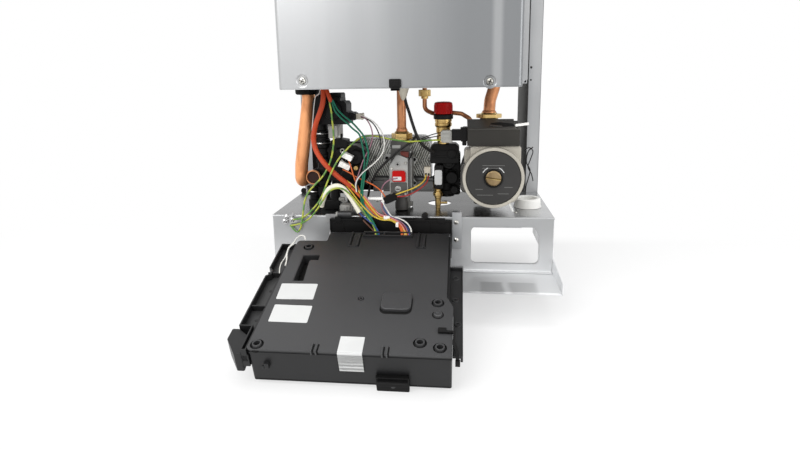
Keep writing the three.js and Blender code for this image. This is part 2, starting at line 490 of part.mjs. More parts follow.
// Front cover of the chamber, with its screws and its clip
{
  const c = COVER;
  const left = across(X_SHARES.coverLeft);
  const right = across(X_SHARES.coverRight);
  const rim = CHAMBER.front - GAP;
  const outside = rounded([[left, rim], [left, c.front], [right, c.front], [right, rim]],
    [0, c.radius, c.radius, 0], 4);
  const inside = rounded([[left + SHEET, rim + OVER], [left + SHEET, c.front + SHEET],
    [right - SHEET, c.front + SHEET], [right - SHEET, rim + OVER]],
  [0, c.radius - SHEET, c.radius - SHEET, 0], 4);
  let cover = cut(prism(outside, "z", COVER_BOTTOM, COVER_TOP),
    prism(inside, "z", COVER_BOTTOM + SHEET, COVER_TOP - SHEET));
  const spotX = { left: left + SCREW_SPOTS.left[0], right: right - SCREW_SPOTS.right[0] };
  const lowSpots = Object.entries(spotX).map(([side, x]) => [x, COVER_BOTTOM + SCREW_SPOTS[side][1]]);
  const highSpots = lowSpots.map(([x]) => [x, COVER_TOP - SCREW_SPOTS.left[1]]);
  const d = DIMPLE;
  const floor = d.depth * d.floorShare;
  for (const [x, z] of [...lowSpots, ...highSpots]) {
    cover = cover.add(rod(d.radius, "y", [x, 0, z], c.front + SHEET / 2, c.front + d.depth + SHEET));
    cover = cut(cover, turned([[0, -OVER], [d.radius, -OVER], [d.radius, 0], [d.land, floor], [0, floor]], "y",
      [x, c.front, z], ROUND),
    rod(SCREW.shank + PLAY, "y", [x, 0, z], c.front - OVER, c.front + d.depth + SHEET + OVER, SMALL));
  }
  piece("chamber_cover", cover, "brightSteel");
  for (const [side, x] of Object.entries(spotX)) {
    const z = COVER_BOTTOM + SCREW_SPOTS[side][1];
    const seat = c.front + floor - GAP / 2;
    const s = SCREW;
    const head = turned([[0, -s.headHigh], [s.head * s.taperShare, -s.headHigh], [s.head, -s.edge], [s.head, 0],
      [s.shank, 0], [s.shank, s.shankLong], [0, s.shankLong]], "y", [x, seat, z], ROUND);
    const deep = [seat - s.headHigh - OVER, seat - s.headHigh + s.slotDeep];
    const arm = s.head * s.taperShare;
    piece("cover_screw_" + side, cut(head,
      slab([x - s.head, x + s.head], deep, [z - s.slot / 2, z + s.slot / 2]),
      slab([x - s.slot / 2, x + s.slot / 2], deep, [z - arm, z + arm])), "brightSteel");
  }
  const k = CLIP;
  const y = c.front - GAP;
  const x = [k.middle - k.width / 2, k.middle + k.width / 2];
  const low = COVER_BOTTOM + k.low;
  const high = COVER_BOTTOM + k.high;
  piece("cover_clip", cut(join(
    slab(x, [y - k.thick, y], [low, high]),
    slab([x[0] + k.lip, x[1] - k.lip], [y - k.thick, y + k.tongue], [COVER_BOTTOM - k.frame, COVER_BOTTOM - GAP]),
    slab([x[0] + k.lip, x[1] - k.lip], [y - k.thick, y - GAP], [COVER_BOTTOM - k.frame, low + BITE])),
  slab([x[0] + k.slot, x[1] - k.slot], [y - k.thick - OVER, y - k.thick / 2],
    [low + k.frame, high - k.frame])), "black");
}

// Burner on its feet, with the walls that carry the fin block
const FIN_LOW = CHAMBER.bottom + FINS.lowShare * CHAMBER_HIGH;
const FIN_HIGH = CHAMBER.bottom + FINS.highShare * CHAMBER_HIGH;
const HEARTH = [across(X_SHARES.hearthLeft), across(X_SHARES.hearthRight)];
const INLET_Y = BURNER.front - BURNER.inlet;
const BURNER_LOW = CHAMBER.bottom + BURNER.low;
{
  const b = BURNER;
  const [left, right] = HEARTH;
  const step = (right - left) / BAR_COUNT;
  const bars = Array.from({ length: BAR_COUNT }, (_, i) => {
    const x = left + step * (i + 0.5) - b.barWidth / 2;
    return prism(rounded(rect([x, x + b.barWidth], [BURNER_LOW + b.barRise, CHAMBER.bottom + b.high]),
      b.barRound, 1), "y", b.front + b.barLow, b.back);
  });
  const tray = cut(slab([left, right], [b.front, b.back], [BURNER_LOW, BURNER_LOW + b.tray]),
    slab([left + b.wall, right - b.wall], [b.front + b.wall, b.back - b.wall],
      [BURNER_LOW + b.tray - b.floor, BURNER_LOW + b.tray + OVER]));
  const tube = join(
    prism(rounded(rect([left + b.tubeLow, right - b.tubeLow], [BURNER_LOW + b.tubeLow, BURNER_LOW + b.tubeHigh]),
      b.barRound, 2), "y", b.front - b.tube, b.front + BITE),
    rod(GAS.r + b.wall, "z", [GAS_AT[0], INLET_Y, 0], BURNER_LOW - b.inlet, BURNER_LOW + b.inlet));
  const feet = [left + b.foot, right - b.foot - b.wall].map((x) =>
    slab([x, x + b.wall], [b.footFront, b.footBack], [CHAMBER.bottom + SHEET + GAP, BURNER_LOW + BITE]));
  const wallZ = [BURNER_LOW + b.floor, FIN_LOW - GAP];
  const walls = [left, right - b.wall].map((x) => slab([x, x + b.wall], [0, b.back - b.wall], wallZ));
  const rear = slab([left, right], [b.back - b.wall * 2, b.back - b.wall], wallZ);
  piece("burner", join(tray, ...bars, tube, ...feet, ...walls, rear), "darkSteel");
}

// Fin block with the tubes that lead into it, and the hood above
const FLOW_JOINT = FIN_LOW + FIN_PIPE.flowShare * (FIN_HIGH - FIN_LOW);
const RETURN_JOINT = FIN_LOW + FIN_PIPE.returnShare * (FIN_HIGH - FIN_LOW);
const JOINT_TAIL = FIN_PIPE.tailShare * (FIN_HIGH - FIN_LOW) / 2;
{
  const f = FINS;
  const [left, right] = HEARTH;
  const pitch = (right - left - f.edge * 2) / FIN_COUNT;
  const gap = Math.min(f.gap, pitch / 2);
  const slots = Array.from({ length: FIN_COUNT }, (_, i) => {
    const x = left + f.edge + pitch * (i + 0.5) - gap / 2;
    return slab([x, x + gap], [f.front - OVER, f.front + f.deep], [FIN_LOW - OVER, FIN_HIGH + OVER]);
  });
  const flowR = FLOW.r - FLOW.wall * 2;
  const returnR = RETURN.r - FLOW.wall * 2;
  piece("heat_exchanger", join(cut(slab([left, right], [f.front, f.back], [FIN_LOW, FIN_HIGH]), ...slots),
    rod(flowR, "x", [0, FLOW_AT[1], FLOW_JOINT], FLOW_AT[0] - FLOW.r, left + BITE, SMALL),
    rod(flowR, "z", [...FLOW_AT, 0], FLOW_JOINT - JOINT_TAIL, FLOW_JOINT, SMALL),
    rod(returnR, "x", [0, RETURN_AT[1], RETURN_JOINT], right - BITE, RETURN_AT[0] + RETURN.r, SMALL),
    rod(returnR, "z", [...RETURN_AT, 0], RETURN_JOINT - JOINT_TAIL, RETURN_JOINT, SMALL)), "copper");
  const h = HOOD;
  const low = FIN_HIGH + GAP;
  const high = CHAMBER_TOP - FAN.down - FAN.r - GAP;
  const base = [[left + h.inset, f.front + h.inset], [right - h.inset, f.front + h.inset],
    [right - h.inset, f.back - h.inset], [left + h.inset, f.back - h.inset]];
  const mouth = [[left + h.mouthLeft, h.mouthFront], [right - h.mouthRight, h.mouthFront],
    [right - h.mouthRight, h.mouthBack], [left + h.mouthLeft, h.mouthBack]];
  const g = new THREE.BufferGeometry();
  g.setAttribute("position", new THREE.Float32BufferAttribute(
    [...base.map((p) => [...p, low]), ...mouth.map((p) => [...p, high])].flat(), 3));
  g.setIndex([0, 2, 1, 0, 3, 2, 4, 5, 6, 4, 6, 7, ...[0, 1, 2, 3].flatMap((i) => {
    const j = (i + 1) % 4;
    return [i, j, j + 4, i, j + 4, i + 4];
  })]);
  const hollow = slab([left + h.hollow, right - h.hollow], [f.front + h.hollowSide, f.back - h.hollowSide],
    [low - OVER, low + (high - low) * h.hollowShare]);
  piece("combustion_hood", cut(solid(g), hollow), "steel");
}

// Fan with its wheel, and the flue collar above it
{
  const n = FAN;
  const fx = across(X_SHARES.fan);
  const fz = CHAMBER_TOP - n.down;
  const half = n.deep / 2;
  const front = n.y - half;
  const back = n.y + half;
  const spoutTop = CHAMBER_TOP - FLUE.down - GAP;
  const spoutX = [fx - n.spoutOut, fx - n.spoutIn];
  const spout = slab(spoutX, [front, back], [fz, spoutTop]);
  const spoutHollow = slab([spoutX[0] + n.wall, spoutX[1] - n.wall], [front + n.wall, back - n.wall],
    [fz, spoutTop + OVER]);
  const centre = [fx, 0, fz];
  const scroll = cut(join(rod(n.r, "y", centre, front, back, FINE), spout),
    rod(n.r - n.wall, "y", centre, front + n.wall, back - n.wall, FINE), spoutHollow,
    rod(n.eye, "y", centre, back - n.wall - OVER, back + OVER));
  const axle = rod(n.shaft, "y", centre, front, back - n.shaftLong, SMALL);
  const motor = rod(n.motor, "y", centre, front - n.motorLong, front + BITE);
  piece("fan_housing", join(scroll, axle, motor), "aluminium");
  const discAt = front + n.disc;
  const disc = tubeRing(n.bore, n.wheel, "y", centre, discAt, discAt + n.discThick);
  const hub = tubeRing(n.bore, n.hub, "y", centre, discAt, back - n.hubEnd, SMALL);
  const rim = tubeRing(n.wheel - n.rimWidth, n.wheel, "y", centre, back - n.rim, back - n.rim + n.discThick);
  const bladeLong = back - n.rim + n.discThick - discAt;
  const blades = Array.from({ length: BLADE_COUNT }, (_, i) => {
    const blade = new THREE.BoxGeometry(n.blade, bladeLong, n.bladeThick);
    blade.rotateY(-BLADE_LEAN);
    blade.translate(n.wheel - n.rimWidth, 0, 0);
    blade.rotateY(i / BLADE_COUNT * Math.PI * 2);
    blade.translate(fx, discAt + bladeLong / 2, fz);
    return solid(blade);
  });
  piece("fan_impeller", join(disc, hub, rim, ...blades), "aluminium");
  const f = FLUE;
  piece("flue_collar", join(
    tubeRing(f.bore, f.tube, "z", [...FLUE_AT, 0], CHAMBER_TOP - f.down, CHAMBER_TOP + f.up),
    tubeRing(f.bore, f.flange, "z", [...FLUE_AT, 0], COVER_TOP + GAP, COVER_TOP + GAP + f.thick),
    tubeRing(f.inner, f.outer, "z", [...FLUE_AT, 0], COVER_TOP + GAP, CHAMBER_TOP + f.outerUp)), "whitePlastic");
}

// Pipes between the base and the chamber
{
  const [fx, fy] = FLOW_AT;
  const f = FLOW;
  const seat = CHAMBER.bottom;
  const tube = f.r - f.wall;
  const footX = fx - f.lean;
  const footZ = ELBOW_AT[1];
  const halfRound = Array.from({ length: SMALL / 2 + 1 }, (_, i) => {
    const t = i / SMALL * Math.PI * 2;
    return [tube * Math.sin(t), -tube * Math.cos(t)];
  });
  piece("flow_pipe", join(pipe([[fx, fy, FLOW_JOINT - JOINT_TAIL - GAP], [fx, fy, seat], [fx, fy, seat - f.bend],
    [footX, fy, footZ + f.slant], [footX, fy, footZ]], tube, f.bend, 30),
  turned(halfRound, "z", [footX, fy, footZ], SMALL),
  rod(tube, "x", [0, fy, footZ], footX, ELBOW_AT[0] - GROUP.elbow - f.endGap, SMALL)), "copper");
  piece("pipe_grommet", tubeRing(f.r + GROMMET.bore, GROMMET.r, "z", [fx - GROMMET.shift, fy, 0],
    seat - GAP - GROMMET.high, seat - GAP), "black");
  const [gx, gy] = GAS_AT;
  const turn = seat + GAS.turn;
  piece("gas_pipe", pipe([[gx, gy, up(GAS.start)], [gx, gy, turn], [gx, INLET_Y, turn],
    [gx, INLET_Y, BURNER_LOW - BURNER.inlet - GAP]], GAS.r, GAS.bend, 18), "copper");
  piece("gas_nut", hexNut(NUTS.gas[0], [gx, gy], up(NUTS.gas[1]), up(NUTS.gas[2])), "brass");
  const [rx, ry] = RETURN_AT;
  const neckX = PUMP_AT[0] - RETURN.foot;
  piece("pump_pipe", pipe([[rx, ry, RETURN_JOINT - JOINT_TAIL - GAP], [rx, ry, seat - RETURN.high],
    [neckX, ry, up(RETURN.knee)], [neckX, ry, up(RETURN.low)]], RETURN.r, RETURN.bend, 18), "copper");
  piece("pump_nut", hexNut(NUTS.pump[0], [neckX, ry], up(NUTS.pump[1]), up(NUTS.pump[2])), "brass");
  const [tx, ty] = THIN_AT;
  const run = THIN_RUN.map(([x, y, z]) => [PUMP_AT[0] + x, ty + y, up(z)]);
  piece("pressure_pipe", join(pipe([[tx, ty, seat + THIN.rise], [tx, ty, run[0][2] + THIN.bend], ...run],
    THIN.r, THIN.bend, 28), hexNut(NUTS.thin[0], [tx, ty], up(NUTS.thin[1]), up(NUTS.thin[2]))), "copper");
}

// Gas valve with its red coil
{
  const v = VALVE;
  const gx = GAS_AT[0];
  const x = [gx - v.left, gx + v.right];
  const z = [up(v.low), up(v.high)];
  const body = prism(rounded(rect(x, z), v.round, 2), "y", v.front, v.back);
  const ribs = VALVE_RIBS.map((rise) =>
    slab([x[0] - v.ribOut, x[1] + v.ribOut], [v.front + v.rib, v.back - v.rib], [up(rise), up(rise) + v.rib]));
  const knob = rod(v.knob, "y", [gx - v.shift, 0, up(v.knobUp)], v.front - v.knobOut, v.front + BITE);
  const nose = rod(v.nose, "y", [gx - v.shift, 0, up(v.noseUp)], v.front - v.noseOut, v.front + BITE);
  const foot = join(rod(v.foot, "z", [gx, PLATE_HOLES.gasY, 0], up(-v.foot * 2), z[0] + BITE, SMALL),
    hexNut(v.nut, [gx, PLATE_HOLES.gasY], up(GAP * 3), up(GAP * 3 + v.nutHigh)));
  piece("gas_valve", join(body, ...ribs, knob, nose, foot), "aluminium");
  const c = COIL;
  const out = [v.front - c.out, v.front - GAP];
  const neck = [v.front - c.neck, v.front - GAP];
  piece("gas_valve_coil", join(
    prism(rounded(rect([gx - c.left, gx + c.right], [up(c.low), up(c.high)]), c.round, 2), "y", ...out),
    slab([gx - c.left / 2, gx + c.right / 2], neck, [up(c.high - BITE), up(c.neckHigh)]),
    slab([gx - c.left, gx + c.right], neck, [up(c.neckHigh - BITE), up(c.neckTop)])), "red");
}

// Plate heat exchanger: a brazed stack with chevron waves on its front plate
const PLATES_X = [FLOW_AT[0] + PLATES.left, PUMP_AT[0] - PLATES.right];
const PLATES_Z = [up(PLATES.low), up(PLATES.high)];
{
  const p = PLATES;
  const [left, right] = PLATES_X;
  const [low, high] = PLATES_Z;
  const mid = (low + high) / 2;
  const outline = rounded(rect(PLATES_X, PLATES_Z), p.radius, 2);
  const inset = rounded(rect([left + p.lip, right - p.lip], [low + p.lip, high - p.lip]), p.radius, 2);
  const layers = Array.from({ length: PLATE_COUNT }, (_, i) => {
    const y = p.front + i * p.pitch;
    return [prism(outline, "y", y, y + p.pitch * PLATE_SHARES.rim),
      prism(inset, "y", y + p.pitch * PLATE_SHARES.inset, y + p.pitch * PLATE_SHARES.overlap)];
  }).flat();
  const field = prism(rounded(rect([left + p.fieldX, right - p.fieldX], [low + p.fieldZ, high - p.fieldZ]),
    p.edge, 2), "y", p.front - p.portOut, p.front + OVER);
  const step = (right - left - p.waveLean) / WAVE_COUNT;
  const waves = Array.from({ length: WAVE_COUNT }, (_, i) => {
    const x = left + p.waveLean + i * step;
    return prism([[x, low + p.edge], [x + p.waveWidth, low + p.edge], [x - p.waveLean + p.waveWidth, mid],
      [x + p.waveWidth, high - p.edge], [x, high - p.edge], [x - p.waveLean, mid]], "y",
    p.front - p.wave, p.front + GAP).intersect(field);
  });
  const ports = [low + p.portIn, high - p.portIn].flatMap((z) => [left + p.portIn, right - p.portIn].map((x) =>
    rod(p.port, "y", [x, 0, z], p.front - p.portOut, p.front + GAP)));
  piece("plate_exchanger", join(...layers, ...waves, ...ports), "brightSteel");
}

// Left hydraulic group
{
  const g = GROUP;
  const [gx, gy] = GROUP_AT;
  const profile = g.profile.map(([r, rise]) => [r, up(rise)]);
  const column = turned([[0, profile[0][1]], ...profile, [0, profile[profile.length - 1][1]]], "z", [gx, gy, 0]);
  const elbowAt = [ELBOW_AT[0], 0, ELBOW_AT[1]];
  const elbow = rod(g.elbow, "y", elbowAt, gy - g.elbowFront, gy + BITE * 2);
  const link = slab([elbowAt[0], gx], [gy - g.linkFront, gy + g.linkBack],
    [elbowAt[2] - g.linkLow, elbowAt[2] + g.linkLow]);
  const side = prism(rounded(rect([gx + g.sideLeft, gx + g.sideRight], [up(g.sideLow), up(g.sideHigh)]),
    g.side, 2), "y", g.sideFront, g.sideBack);
  const portX = PLATES_X[0] + PLATES.portIn;
  const arms = [PLATES_Z[0] + PLATES.portIn, PLATES_Z[1] - PLATES.portIn].map((z) => join(
    rod(g.arm, "x", [0, g.armY, z], gx, portX, SMALL),
    rod(g.arm, "y", [portX, 0, z], g.armY, PLATES.front - g.portGap)));
  piece("flow_group", join(column, elbow, link, side, ...arms), "black");
  const h = HOOP;
  const clip = (rise) => {
    const z = up(rise);
    const hoop = tubeRing(h.r, h.r + h.thick, "z", [gx, gy, 0], z, z + h.high);
    const far = h.r * 2;
    const open = slab([gx - far, gx + far], [gy + g.linkBack, gy + far], [z - OVER, z + h.high + OVER]);
    const ears = [-1, 1].map((k) => slab([gx + k * (h.r + h.ear) - h.ear, gx + k * (h.r + h.ear) + h.ear],
      [gy + g.linkBack - BITE, gy + h.earBack], [z, z + h.high]));
    return join(cut(hoop, open), ...ears);
  };
  piece("flow_clip_upper", clip(h.upper), "brightSteel");
  piece("flow_clip_lower", clip(h.lower), "brightSteel");
  const o = OUTLET;
  piece("flow_outlet", join(
    rod(o.head, "z", [...OUTLET_AT, 0], up(o.headLow), up(o.headHigh), FINE),
    rod(o.stem, "z", [...OUTLET_AT, 0], up(-o.stemDown), up(o.headLow + BITE)),
    rod(o.seat, "z", [...OUTLET_AT, 0], up(GAP), up(o.seatHigh))), "black");
  const a = ACTUATOR;
  const at = ([x, rise]) => [gx + x, up(rise)];
  const shell = prism(rounded(a.outline.map(at), a.round, 2), "y", a.front, a.back);
  const dome = rod(a.dome, "y", [gx + a.domeX, 0, up(a.domeUp)], a.front - a.domeOut, a.front + BITE);
  const lug = slab([gx + a.lugLeft, gx + a.lugRight], [a.front + a.lugFront, a.back - a.lugBack],
    [up(a.lugLow), up(a.lugHigh)]);
  const stem = rod(a.stem, "z", [gx + a.stemX, a.stemY, 0], up(a.stemLow), up(a.outline[0][1] + BITE));
  piece("diverter_actuator", join(shell, dome, lug, stem), "black");
}

// Flow sensor and its two plugs
{
  const s = SENSOR;
  const x = (out) => GROUP_AT[0] + out;
  piece("flow_sensor", join(
    prism(rounded(s.outline.map(([out, rise]) => [x(out), up(rise)]), s.round, 2), "y", s.front, s.back),
    rod(s.eye, "y", [x(s.eyeX), 0, up(s.eyeUp)], s.front - s.eyeOut, s.front + BITE),
    rod(s.port, "y", [x(s.portX), 0, up(s.portUp)], s.front - s.portOut, s.front + BITE)), "black");
  for (const [place, lean] of Object.entries(PLUG_LEAN)) {
    const [out, y, rise] = PLUG[place];
    const g = new THREE.BoxGeometry(PLUG.long, PLUG.deep, PLUG.high);
    g.rotateY(lean);
    g.translate(x(out), y, up(rise));
    piece("sensor_plug_" + place, solid(g), "whitePlastic");
  }
}

// Right hydraulic group with the safety valve above it
{
  const r = RETURN_GROUP;
  const x = (out) => PUMP_AT[0] + out;
  const profile = r.profile.map(([radius, rise]) => [radius, up(rise)]);
  const body = turned([[0, profile[0][1]], ...profile, [0, profile[profile.length - 1][1]]], "z", [x(r.x), r.y, 0]);
  piece("return_group", join(body,
    slab(r.top[0].map(x), r.top[1], r.top[2].map(up)),
    rod(r.stub, "y", [x(r.stubX), 0, up(r.stubUp)], ...r.stubY, SMALL),
    prism(rounded(r.outline.map(([out, rise]) => [x(out), up(rise)]), r.round, 2), "y", r.front, r.back),
    rod(r.eye, "y", [x(r.eyeX), 0, up(r.eyeUp)], r.eyeFront, r.front + BITE * 2),
    rod(r.side, "x", [0, r.sideY, up(r.sideUp)], x(-r.sideLeft), x(r.x), SMALL)), "black");
  const s = SAFETY;
  const at = [...SAFETY_AT, 0];
  piece("safety_valve_body", join(
    hexNut(s.hex, SAFETY_AT, up(s.hexLow), up(s.hexHigh)),
    rod(s.body, "z", at, up(s.bodyLow), up(s.hexLow + BITE)),
    rod(s.spout, "y", [at[0], 0, up(s.spoutUp)], at[1] - s.spoutLong, at[1]),
    rod(s.side, "x", [0, s.sideY, up(s.sideUp)], at[0], at[0] + s.sideLong, SMALL)), "brass");
  piece("safety_valve_ring", join(rod(s.ring, "z", at, up(s.ringLow), up(s.ringHigh), FINE),
    rod(s.pin, "z", at, up(s.ringHigh - BITE), up(s.pinHigh), SMALL)), "black");
  const grips = Array.from({ length: GRIP_COUNT }, (_, i) => {
    const t = i / GRIP_COUNT * Math.PI * 2;
    return rod(s.grip, "z", [at[0] + (s.cap + s.gripOut) * Math.cos(t), at[1] + (s.cap + s.gripOut) * Math.sin(t), 0],
      up(s.capLow - OVER), up(s.capHigh - s.gripTop), 6);
  });
  piece("safety_valve_cap", cut(turned([[0, up(s.capLow)], [s.cap, up(s.capLow)], [s.cap, up(s.capHigh - s.capEdge)],
    [s.cap - s.capEdge, up(s.capHigh)], [0, up(s.capHigh)]], "z", at), ...grips,
  rod(s.bore, "z", at, up(s.capLow - OVER), up(s.boreHigh))), "red");
  const w = SWITCH;
  const axle = [x(w.x), 0, up(w.up)];
  piece("pressure_switch", join(rod(w.r, "y", axle, w.front, w.back),
    slab([axle[0] - w.left, axle[0] + w.right], [w.plugFront, w.plugBack], [axle[2] - w.low, axle[2] + w.high]),
    rod(w.tail, "y", axle, w.back - BITE, w.tailBack, SMALL)), "black");
  const d = DRAIN;
  const drainAt = [...DRAIN_AT, 0];
  piece("drain_fitting", join(
    rod(d.stem, "z", drainAt, up(-d.down), up(d.top)),
    hexNut(d.hex, DRAIN_AT, up(d.hexLow), up(d.hexHigh)),
    rod(d.head, "z", drainAt, up(d.hexHigh), up(d.headHigh))), "brass");
}

// Pump: housing, round motor, dark end face with its brass vent screw, and terminal box
{
  const p = PUMP;
  const h = HOUSING;
  const x = (out) => PUMP_AT[0] + out;
  const cx = x(p.x);
  const cz = PUMP_AT[1];
  const neckAt = [x(-RETURN.foot), RETURN.y, 0];
  piece("pump_housing", join(
    rod(h.r, "y", [cx, 0, cz], h.front, h.back, FINE),
    prism(rounded(rect([x(-h.left), x(h.right)], [cz - h.low, up(h.high)]), h.round, 2), "y",
      h.blockFront, h.front + BITE),
    rod(h.spike, "z", [x(h.spikeX), RETURN.y, 0], up(h.spikeLow), up(h.spikeHigh), SMALL),
    prism(rounded(rect(h.ear[0].map(x), h.ear[1].map(up)), h.earRound, 2), "y", h.earFront, h.front + BITE),
    rod(h.neck, "z", neckAt, up(h.neckLow), up(h.neckHigh)),
    rod(h.foot, "z", [x(h.footX), h.footY, 0], up(h.footLow), up(h.footHigh))), "black");
  const shellProfile = [[0, p.faceDeep], [p.face + p.faceStart, p.faceDeep], [p.face + p.faceStart, 0],
    [p.r - p.ringEdge, 0], [p.r, p.ringEdge], [p.r, p.back - p.front], [0, p.back - p.front]];
  piece("pump_motor", turned(shellProfile, "y", [cx, p.front, cz], FINE), "greyPlastic");
  const m = PUMP_RIM;
  const bore = p.knob + GAP;
  piece("pump_face", turned([[bore, -m.out], [p.knob + m.inner, -m.out], [p.knob + m.outer, m.step],
    [p.face * PUMP_SHARES.inner, m.step], [p.face * PUMP_SHARES.outer, m.low], [p.face - BITE, m.low],
    [p.face, m.step], [p.face, m.back], [bore, m.back], [bore, -m.out]], "y", [cx, p.front, cz], FINE), "charcoal");
  const slot = slab([cx - p.knob * 2, cx + p.knob * 2], [p.front - p.knobOut - OVER, p.front - p.knobOut + p.slotDeep],
    [cz - p.slot / 2, cz + p.slot / 2]);
  piece("pump_knob", cut(turned([[0, -p.knobOut], [p.knob - m.step, -p.knobOut], [p.knob, m.step - p.knobOut],
    [p.knob, p.knobBack], [0, p.knobBack]], "y", [cx, p.front, cz]), slot), "brass");
  const t = TERMINAL;
  const z = { low: up(t.low), edge: up(t.edge), top: up(t.top) };
  const profile = rounded([[t.front, z.low], [t.back, z.low], [t.back, z.top], [t.front, z.edge]],
    t.round, 2);
  const body = prism(profile, "x", x(-t.left), x(t.right));
  const pit = slab(t.pit.map(x), [t.pitFront, t.pitBack], [z.edge - t.pitDeep, z.top + OVER]);
  const corner = prism([[x(t.right - t.cornerIn), z.top + OVER], [x(t.right) + OVER, z.top + OVER],
    [x(t.right) + OVER, z.edge - OVER]], "y", t.front - OVER, t.back + OVER);
  piece("terminal_box", cut(body, pit, corner, rod(h.neck + GAP, "z", neckAt, z.low - OVER, z.top + OVER)),
    "charcoal");
}

// White collar and filling tap on the plate
{
  const c = COLLAR;
  const at = [...COLLAR_AT, 0];
  piece("plate_collar", join(
    tubeRing(c.bore, c.sleeve, "z", at, up(-c.drop), up(c.base)),
    turned([[c.bore, up(GAP)], [c.low, up(GAP)], [c.low, up(c.base)], [c.top, up(c.high)],
      [c.bore, up(c.high)], [c.bore, up(GAP)]], "z", at)), "whitePlastic");
  const t = TAP;
  const tapAt = [...TAP_AT, 0];
  const low = up(GAP);
  const high = up(t.high);
  const grips = Array.from({ length: TAP_GRIPS }, (_, i) => {
    const a = i / TAP_GRIPS * Math.PI * 2;
    return rod(t.grip, "z", [tapAt[0] + (t.r + t.gripOut) * Math.cos(a), tapAt[1] + (t.r + t.gripOut) * Math.sin(a), 0],
      low - OVER, high + OVER, 6);
  });
  piece("tap_knob", cut(turned([[0, low], [t.r, low], [t.r, high - t.edge], [t.r - t.cap, high],
    [0, high]], "z", tapAt), ...grips, rod(t.stem + PLAY, "z", tapAt, low - OVER, low + t.socket)), "greyPlastic");
  piece("tap_body", join(rod(t.stem, "z", tapAt, up(-t.drop), low + t.stemRise),
    slab([tapAt[0] - t.block, tapAt[0] + t.block], [tapAt[1] - t.block, tapAt[1] + t.blockBack],
      [up(-t.blockLow), up(-t.blockHigh)])), "brass");
}

// Control box, drawn lying flat in its own frame and tilted about its back edge
box.position.set(0, BOX_AT.y, BOX_AT.z);
box.rotation.x = SLOPE;
const lie = (points) => points.map(([x, u]) => [x, -u]);
const boxEdge = (inset) => {
  const b = BOX;
  return lie(rounded([[BOX_NEAR + inset, inset], [BOX_RIGHT - inset, inset], [BOX_RIGHT - inset, b.jogStart],
    [BOX_FAR - inset, b.jogEnd], [BOX_FAR - inset, b.length - inset], [BOX_LEFT + inset, b.length - inset],
    [BOX_LEFT + inset, b.narrow + inset], [BOX_NEAR + inset, b.narrow + inset]],
  [b.foot, b.foot, b.round, b.round, b.round / 2, b.round / 2, b.corner, b.round / 2], 3));
};

// Box shell with its screw posts, its side tray, and the bores for the pins and the knobs
{
  const b = BOX;
  const wallTop = -b.lid - GAP;
  const inner = b.inset + b.wall;
  const room = prism(boxEdge(inner), "z", -b.depth + b.floor, wallTop + OVER);
  const walls = cut(prism(boxEdge(b.inset), "z", -b.depth, wallTop), room);
  const pinBores = [[BOX_NEAR - OVER, BOX_NEAR + inner + OVER], [BOX_RIGHT - inner - OVER, BOX_RIGHT + OVER]]
    .map(([from, to]) => rod(HINGE.hole / 2, "x", [0, -HINGE.u, HINGE.w], from, to, SMALL));
  const tr = TRAY;
  const left = BOX_LEFT - tr.out;
  const end = b.length + tr.past;
  const split = b.length - tr.split;
  const rim = BOX_LEFT - GAP;
  const trayOut = lie([[left, tr.start], [rim, tr.start], [rim, end - tr.lip], [left + tr.step, end - tr.lip],
    [left + tr.step, split + tr.stepEnd], [left, split + tr.stepEnd], [left, tr.jog + tr.jogHigh],
    [left + tr.jogIn, tr.jog + tr.jogLow], [left + tr.jogIn, tr.jog], [left, tr.jog - tr.jogLow]]);
  const tie = slab([rim - BITE, BOX_LEFT + tr.tie], [-end + tr.tie * 2, -tr.start - BITE], [-tr.deep, wallTop - GAP]);
  const pit = (u0, u1) => prism(lie(rect([left + tr.jogIn + tr.wall, BOX_LEFT - tr.wall], [u0, u1])), "z",
    -tr.deep + tr.wall, 0);
  const pits = [pit(tr.start + tr.wall, tr.jog), pit(tr.jog + tr.wall * 2, split), pit(split + tr.wall, split + tr.pit)];
  const tray = cut(prism(trayOut, "z", -tr.deep, -tr.lip), ...pits);
  const knobBores = BOX_SHARES.knobs.map((share) =>
    rod(KNOB.hole, "z", [boxAcross(share), -KNOB.u, 0], -b.depth - OVER, -b.depth + b.floor + OVER));
  const p = POST;
  const sides = [BOX_LEFT + p.left, BOX_RIGHT - p.right];
  const ledgeSides = [BOX_LEFT + p.ledgeIn, BOX_RIGHT - p.ledgeRight];
  const foot = -b.depth + OVER;
  const posts = [p.near, b.length - p.far].flatMap((u) =>
    sides.map((x) => rod(p.r, "z", [x, -u, 0], foot, wallTop - BITE, SMALL)));
  const ledges = [p.ledgeNear, b.length - p.ledgeFar].flatMap((u) =>
    ledgeSides.map((x) => rod(p.ledge, "z", [x, -u, 0], foot, p.ledgeTop, SMALL)));
  const h = HOOK;
  const hook = slab([BOX_LEFT + h.left, BOX_LEFT + h.right], [-b.length - h.out, -b.length + BITE], [h.low, h.high]);
  const spill = room.intersect(slab([BOX_LEFT, BOX_LEFT + inner * 2], [-b.length, 0], [-b.depth, OVER]));
  piece("box_shell", cut(join(walls, ...posts, ...ledges, tray, tie, hook), ...pinBores, ...knobBores, spill),
    "charcoal", box);
}

